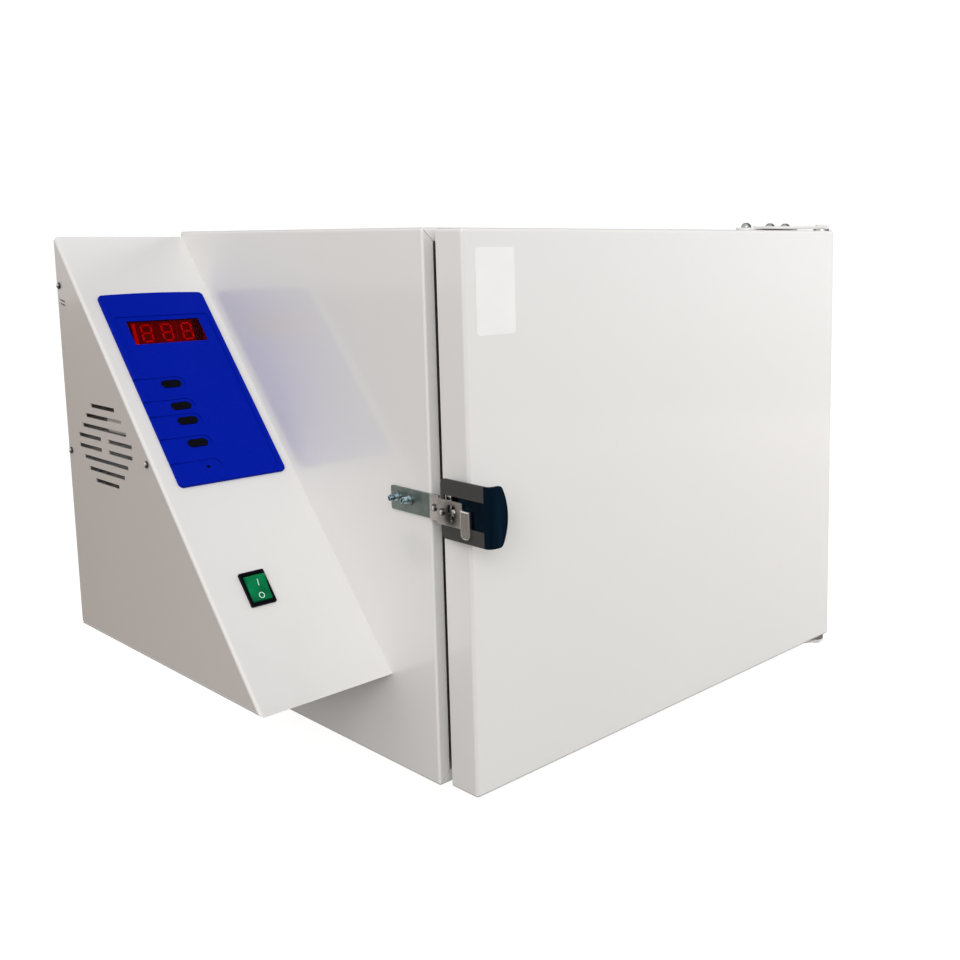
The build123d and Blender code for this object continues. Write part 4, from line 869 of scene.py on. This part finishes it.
class OVEN_OT_studs(Operator):
    """Threaded studs that hold the keeper strap"""

    bl_idname = "oven.studs"
    bl_label = "Add the threaded studs"

    def execute(self, context):
        pitch = context.scene.oven_fittings.thread_pitch
        bm = bmesh.new()
        sides = 24
        for low, high in node_shells("keeper_studs"):
            centre = (low + high) / 2
            outer = (high.y - low.y) / 2
            root = outer - 0.55 * pitch
            length = high.x - low.x
            turns = int(length / pitch) - 1
            piece = bmesh.new()
            crest = ((outer, 0.4 * pitch), (outer, 0.55 * pitch))
            points = ((root, 0.0), *crest, (root, 0.95 * pitch), (root, pitch))
            verts = [piece.verts.new((x, 0.0, z)) for x, z in points]
            edges = [piece.edges.new(pair) for pair in zip(verts, verts[1:])]
            bmesh.ops.spin(
                piece, geom=verts + edges, cent=(0, 0, 0), axis=(0, 0, 1), dvec=(0, 0, pitch / sides),
                angle=math.tau * turns, steps=sides * turns,
            )
            core = bmesh.ops.create_cone(
                piece, cap_ends=True, segments=sides, radius1=root, radius2=root * 0.93, depth=length
            )
            bmesh.ops.translate(piece, verts=core["verts"], vec=(0, 0, length / 2))
            caps = (f for f in piece.faces if len(f.verts) > 8)
            end = max(caps, key=lambda f: f.calc_center_median().z)
            bmesh.ops.inset_individual(piece, faces=[end], thickness=root * 0.42, depth=0.0)
            bmesh.ops.inset_individual(piece, faces=[end], thickness=0.02 * MM, depth=-1.6 * MM)
            bmesh.ops.remove_doubles(piece, verts=piece.verts, dist=1e-6)
            seat = Matrix.Translation((high.x, centre.y, centre.z))
            place = seat @ Matrix.Rotation(-math.pi / 2, 4, "Y")
            bmesh.ops.transform(piece, matrix=place, verts=piece.verts)
            pour(piece, bm)
        studs = as_object(bm, "threaded_studs", stud_plating(), 40)
        fit_piece(studs, "cabinet", "zinc", "keeper_studs")
        return {"FINISHED"}


def add_segment(bm, length, width, depth, place):
    """Long hexagonal segment of a display digit, lying along X."""
    made = bmesh.ops.create_circle(bm, cap_ends=True, segments=6, radius=0.5)["verts"]
    for vert in made:
        tip = abs(vert.co.y) < 0.1
        side = math.copysign(1.0, vert.co.x)
        vert.co.x = side * (length / 2 if tip else length / 2 - width / 2)
        vert.co.y = 0.0 if tip else math.copysign(width / 2, vert.co.y)
    face = next(f for f in bm.faces if set(f.verts) == set(made))
    risen = bmesh.ops.extrude_face_region(bm, geom=[face])["geom"]
    top = [v for v in risen if isinstance(v, bmesh.types.BMVert)]
    bmesh.ops.translate(bm, verts=top, vec=(0, 0, depth))
    bmesh.ops.transform(bm, matrix=place, verts=made + top)


def leaning():
    """Matrix that leans a digit to the right."""
    lean = Matrix.Identity(4)
    lean[0][1] = math.tan(DIGIT_LEAN)
    return lean


def add_digit(bm, centre, fittings):
    """Seven segments, leaning to the right."""
    high, wide, thick = fittings.digit_height, fittings.digit_width, fittings.segment_width
    lean = leaning()
    half = (high - thick) / 2
    upright = Matrix.Rotation(math.pi / 2, 4, "Z")
    for side in (-1, 1):
        for level in (-0.5, 0.5):
            place = Matrix.Translation((side * wide / 2, level * half, 0)) @ upright
            add_segment(bm, half - SEGMENT_GAP, thick, SEGMENT_RISE, centre @ lean @ place)
    for level in (-1, 0, 1):
        place = Matrix.Translation((0, level * half, 0))
        add_segment(bm, wide - SEGMENT_GAP, thick, SEGMENT_RISE, centre @ lean @ place)


class OVEN_OT_display(Operator):
    """Unlit digits of the display under its red filter"""

    bl_idname = "oven.display"
    bl_label = "Add the display digits"

    def execute(self, context):
        fittings = context.scene.oven_fittings
        colours = context.scene.oven_colours
        middle = slant_matrix(box_centre("display_window"))

        def on_block(across, lift=0.0):
            """Place on the display block's face, so far to the right of the lens's middle."""
            return middle @ Matrix.Translation((across, 0, lift - BLOCK_DEPTH))

        def add_strip(bm, width, height, corner, place):
            """Upright strip that leans as the digits do."""
            rounded_plate(bm, width, height, STRIP_RISE, corner, place @ leaning())

        def fit(bm, name, material):
            """A finished piece of the display."""
            fit_piece(as_object(bm, name, material), "cabinet", "red_filter")

        bm = bmesh.new()
        for column in (-1, 0, 1):
            add_digit(bm, on_block(DIGITS_ASIDE + column * fittings.digit_pitch), fittings)
        # The digits, bands and ends all have a painted glow
        digit = tinted(colours.digit, 0.62)
        fit(bm, "display_digits", glowing_plastic("unlit segments", digit, 0.6))
        low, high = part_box("display_window")
        half = (high.x - low.x) / 2
        tall = fittings.digit_height * 1.2
        bm = bmesh.new()
        add_strip(bm, fittings.half_digit_width, tall, 0.2 * MM, on_block(BAND_INSET - half, BAND_LIFT))
        fit(bm, "display_half_digit", glowing_plastic("half digit", digit, 0.45))
        bm = bmesh.new()
        add_strip(bm, SEAM_WIDTH, tall, 0.05 * MM, on_block(DIGITS_ASIDE + 0.5 * fittings.digit_pitch))
        fit(bm, "display_seam", glowing_plastic("display seam", tinted(colours.digit, 0.35), 0.5))
        bm = bmesh.new()
        for width, side in ((fittings.display_end, 1), (LEFT_END, -1)):
            place = on_block(side * (half - width / 2 - END_INSET))
            add_strip(bm, width, tall * 1.05, 0.1 * MM, place)
        fit(bm, "display_ends", glowing_plastic("display ends", DISPLAY_END, 0.2))
        return {"FINISHED"}


def laid_on(node, point, out):
    """Where a line against the direction out meets a node's surface."""
    obj = frame["nodes"][node]
    start = point + out * 0.02
    found, spot, normal, _ = obj.ray_cast(start, -out)
    if not found:
        raise RuntimeError("the mark misses " + node)
    return spot, normal


class OVEN_OT_marks(Operator):
    """On and off marks printed on the rocker"""

    bl_idname = "oven.marks"
    bl_label = "Add the switch marks"

    def execute(self, context):
        height = context.scene.oven_fittings.mark_height
        stroke = context.scene.oven_fittings.mark_stroke
        face = slant_matrix(box_centre("switch_rocker"))
        out = face.to_3x3() @ Vector((0, 0, 1))
        bm = bmesh.new()
        bar = bmesh.ops.create_grid(bm, x_segments=2, y_segments=10, size=0.5)["verts"]
        bmesh.ops.scale(bm, verts=bar, vec=(stroke, height, 1.0))
        bmesh.ops.translate(bm, verts=bar, vec=BAR_PLACE)
        ring_edges = []
        for radius in (height / 2, height / 2 - stroke):
            ring = bmesh.ops.create_circle(bm, cap_ends=False, segments=32, radius=radius)["verts"]
            bmesh.ops.scale(bm, verts=ring, vec=((radius - RING_NARROWER) / radius, 1.0, 1.0))
            bmesh.ops.translate(bm, verts=ring, vec=RING_PLACE)
            ring_edges += list({e for v in ring for e in v.link_edges})
        bmesh.ops.bridge_loops(bm, edges=ring_edges)
        for vert in bm.verts:
            spot, normal = laid_on("switch_rocker", face @ vert.co, out)
            vert.co = spot + normal * PRINT_GAP
        bmesh.ops.solidify(bm, geom=bm.faces[:], thickness=PRINT_RISE)
        shades = Shades("white print")
        shades.vary_colour(shades.spread(shades.noise(900.0)), PRINT_DIM, PRINT_BRIGHT)
        shades.constant("Roughness", 0.35)
        marks = as_object(bm, "rocker_marks", shades.material)
        fit_piece(marks, "rocker", "white_paint")
        return {"FINISHED"}


class OVEN_OT_label(Operator):
    """Blank sticker at the door's top left corner"""

    bl_idname = "oven.label"
    bl_label = "Add the blank sticker"

    def execute(self, context):
        fittings = context.scene.oven_fittings
        low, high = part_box("door_shell")
        centre = Vector((
            low.x + fittings.label_side + fittings.label_width / 2,
            low.y,
            high.z - fittings.label_top - fittings.label_height / 2,
        ))
        front = Matrix.Translation(centre) @ Matrix.Rotation(math.pi / 2, 4, "X")
        bm = bmesh.new()
        rounded_plate(bm, fittings.label_width, fittings.label_height, 0.12 * MM, 2.2 * MM, front)
        shades = Shades("sticker vinyl")
        shades.vary_colour(shades.spread(shades.noise(40.0)), VINYL_DIM, VINYL_BRIGHT)
        shades.vary("Roughness", shades.spread(shades.noise(120.0), 0.30, 0.38))
        shades.relief(shades.noise(55.0), 0.00004, 0.2)
        sticker = as_object(bm, "blank_sticker", shades.material, 30)
        fit_piece(sticker, "door", "white_paint")
        return {"FINISHED"}


# Studio


def add_lamp(name, place, aim, size, watts, glossy=True):
    """Soft square lamp that points from its place to its aim."""
    light = bpy.data.lights.new(name, "AREA")
    light.shape = "RECTANGLE"
    light.size, light.size_y = size
    light.energy = watts
    lamp = bpy.data.objects.new(name, light)
    lamp.location = place
    lamp.rotation_euler = (Vector(aim) - Vector(place)).to_track_quat("-Z", "Y").to_euler()
    lamp.visible_glossy = glossy
    bpy.context.collection.objects.link(lamp)


def camera_strength(tree, seen):
    """Strength for the camera's rays alone; the others find nothing."""
    path = tree.nodes.new("ShaderNodeLightPath")
    choose = tree.nodes.new("ShaderNodeMapRange")
    choose.inputs["To Max"].default_value = seen
    tree.links.new(path.outputs["Is Camera Ray"], choose.inputs["Value"])
    return choose.outputs["Result"]


def add_world(ambient):
    """White background that lights the object softly, more and warmer from the left."""
    world = bpy.data.worlds.new("studio")
    bpy.context.scene.world = world
    world.use_nodes = True
    tree = world.node_tree
    background = tree.nodes["Background"]
    ways = tree.nodes.new("ShaderNodeSeparateXYZ")
    tree.links.new(tree.nodes.new("ShaderNodeTexCoord").outputs["Generated"], ways.inputs["Vector"])
    tint = tree.nodes.new("ShaderNodeMix")
    tint.data_type = "RGBA"
    tint.inputs[6].default_value = WARM
    tint.inputs[7].default_value = COOL
    fade = tree.nodes.new("ShaderNodeMapRange")
    fade.inputs["From Min"].default_value = FADE_FROM
    fade.inputs["From Max"].default_value = FADE_TO
    fade.inputs["To Min"].default_value = ambient * LEFT_SHARE
    fade.inputs["To Max"].default_value = ambient * RIGHT_SHARE
    tree.links.new(ways.outputs["X"], fade.inputs["Value"])
    warmth = tree.nodes.new("ShaderNodeMapRange")
    warmth.inputs["From Min"].default_value = WARM_FROM
    warmth.inputs["From Max"].default_value = WARM_TO
    tree.links.new(ways.outputs["X"], warmth.inputs["Value"])
    tree.links.new(warmth.outputs["Result"], tint.inputs["Factor"])
    shown = camera_strength(tree, SKY_GLOW)
    # The other rays find the fading light
    tree.links.new(fade.outputs["Result"], shown.node.inputs["To Min"])
    tree.links.new(shown, background.inputs["Strength"])
    tree.links.new(tint.outputs[2], background.inputs["Color"])


def add_floor():
    """Pale floor that keeps the object's shadow."""
    bm = bmesh.new()
    bmesh.ops.create_grid(bm, x_segments=1, y_segments=1, size=6.0)
    material = bpy.data.materials.new("studio floor")
    material.use_nodes = True
    tree = material.node_tree
    shader = tree.nodes["Principled BSDF"]
    shader.inputs["Base Color"].default_value = FLOOR_COLOUR
    shader.inputs["Roughness"].default_value = 0.9
    shader.inputs["Specular IOR Level"].default_value = 0.0
    glow = tree.nodes.new("ShaderNodeEmission")
    tree.links.new(camera_strength(tree, FLOOR_GLOW), glow.inputs["Strength"])
    both = tree.nodes.new("ShaderNodeAddShader")
    tree.links.new(shader.outputs["BSDF"], both.inputs[0])
    tree.links.new(glow.outputs["Emission"], both.inputs[1])
    tree.links.new(both.outputs[0], tree.nodes["Material Output"].inputs["Surface"])
    floor = as_object(bm, "floor", material)


def add_camera(studio):
    """Camera at the photograph's place."""
    yaw, pitch, roll = studio.yaw, studio.pitch, studio.roll
    ahead = Vector((math.sin(yaw) * math.cos(pitch), math.cos(yaw) * math.cos(pitch), -math.sin(pitch)))
    level = Vector((math.cos(yaw), -math.sin(yaw), 0.0))
    above = level.cross(ahead)
    right = math.cos(roll) * level + math.sin(roll) * above
    up = math.cos(roll) * above - math.sin(roll) * level
    data = bpy.data.cameras.new("camera")
    data.sensor_width = 36.0
    data.lens = studio.lens
    data.shift_x, data.shift_y = CAMERA_SHIFT
    data.clip_start = 0.01
    camera = bpy.data.objects.new("camera", data)
    turn = Matrix((right, up, -ahead)).transposed().to_4x4()
    camera.matrix_world = Matrix.Translation(CAMERA_PLACE) @ turn
    bpy.context.collection.objects.link(camera)
    bpy.context.scene.camera = camera


class OVEN_OT_studio(Operator):
    """Floor, background, lamps and camera"""

    bl_idname = "oven.studio"
    bl_label = "Set up the studio"

    def execute(self, context):
        studio = context.scene.oven_studio
        add_world(studio.ambient)
        add_floor()
        add_lamp("key", *KEY_LAMP, studio.key)
        add_lamp("right", *RIGHT_LAMP, studio.fill, glossy=False)
        add_lamp("top", *TOP_LAMP, studio.top)
        add_camera(studio)
        context.scene.view_settings.view_transform = "Standard"
        return {"FINISHED"}


class OVEN_PT_panel(Panel):
    """Lists the steps that dress the oven"""

    bl_idname = "OVEN_PT_panel"
    bl_label = "Drying oven"
    bl_space_type = "VIEW_3D"
    bl_region_type = "UI"
    bl_category = "Oven"

    def draw(self, context):
        column = self.layout.column()
        for step in steps:
            column.operator(step.bl_idname)
        scene = context.scene
        for group in (scene.oven_colours, scene.oven_fittings, scene.oven_studio):
            for name in group.__annotations__:
                column.prop(group, name)


groups = (OvenColours, OvenFittings, OvenStudio)
steps = (
    OVEN_OT_paint, OVEN_OT_metals, OVEN_OT_plastics, OVEN_OT_screws, OVEN_OT_studs, OVEN_OT_display,
    OVEN_OT_marks, OVEN_OT_label, OVEN_OT_studio,
)


def register():
    """Makes the classes known to Blender."""
    for group in groups:
        bpy.utils.register_class(group)
    for step in steps:
        bpy.utils.register_class(step)
    bpy.utils.register_class(OVEN_PT_panel)
    bpy.types.Scene.oven_colours = PointerProperty(type=OvenColours)
    bpy.types.Scene.oven_fittings = PointerProperty(type=OvenFittings)
    bpy.types.Scene.oven_studio = PointerProperty(type=OvenStudio)


def unregister():
    """Takes the classes out again."""
    del bpy.types.Scene.oven_studio
    del bpy.types.Scene.oven_fittings
    del bpy.types.Scene.oven_colours
    bpy.utils.unregister_class(OVEN_PT_panel)
    for step in reversed(steps):
        bpy.utils.unregister_class(step)
    for group in reversed(groups):
        bpy.utils.unregister_class(group)


def main():
    """Dresses the oven step by step."""
    register()
    bpy.ops.oven.paint()
    bpy.ops.oven.metals()
    bpy.ops.oven.plastics()
    bpy.ops.oven.screws()
    bpy.ops.oven.studs()
    bpy.ops.oven.display()
    bpy.ops.oven.marks()
    bpy.ops.oven.label()
    bpy.ops.oven.studio()


if __name__ == "__main__":
    main()
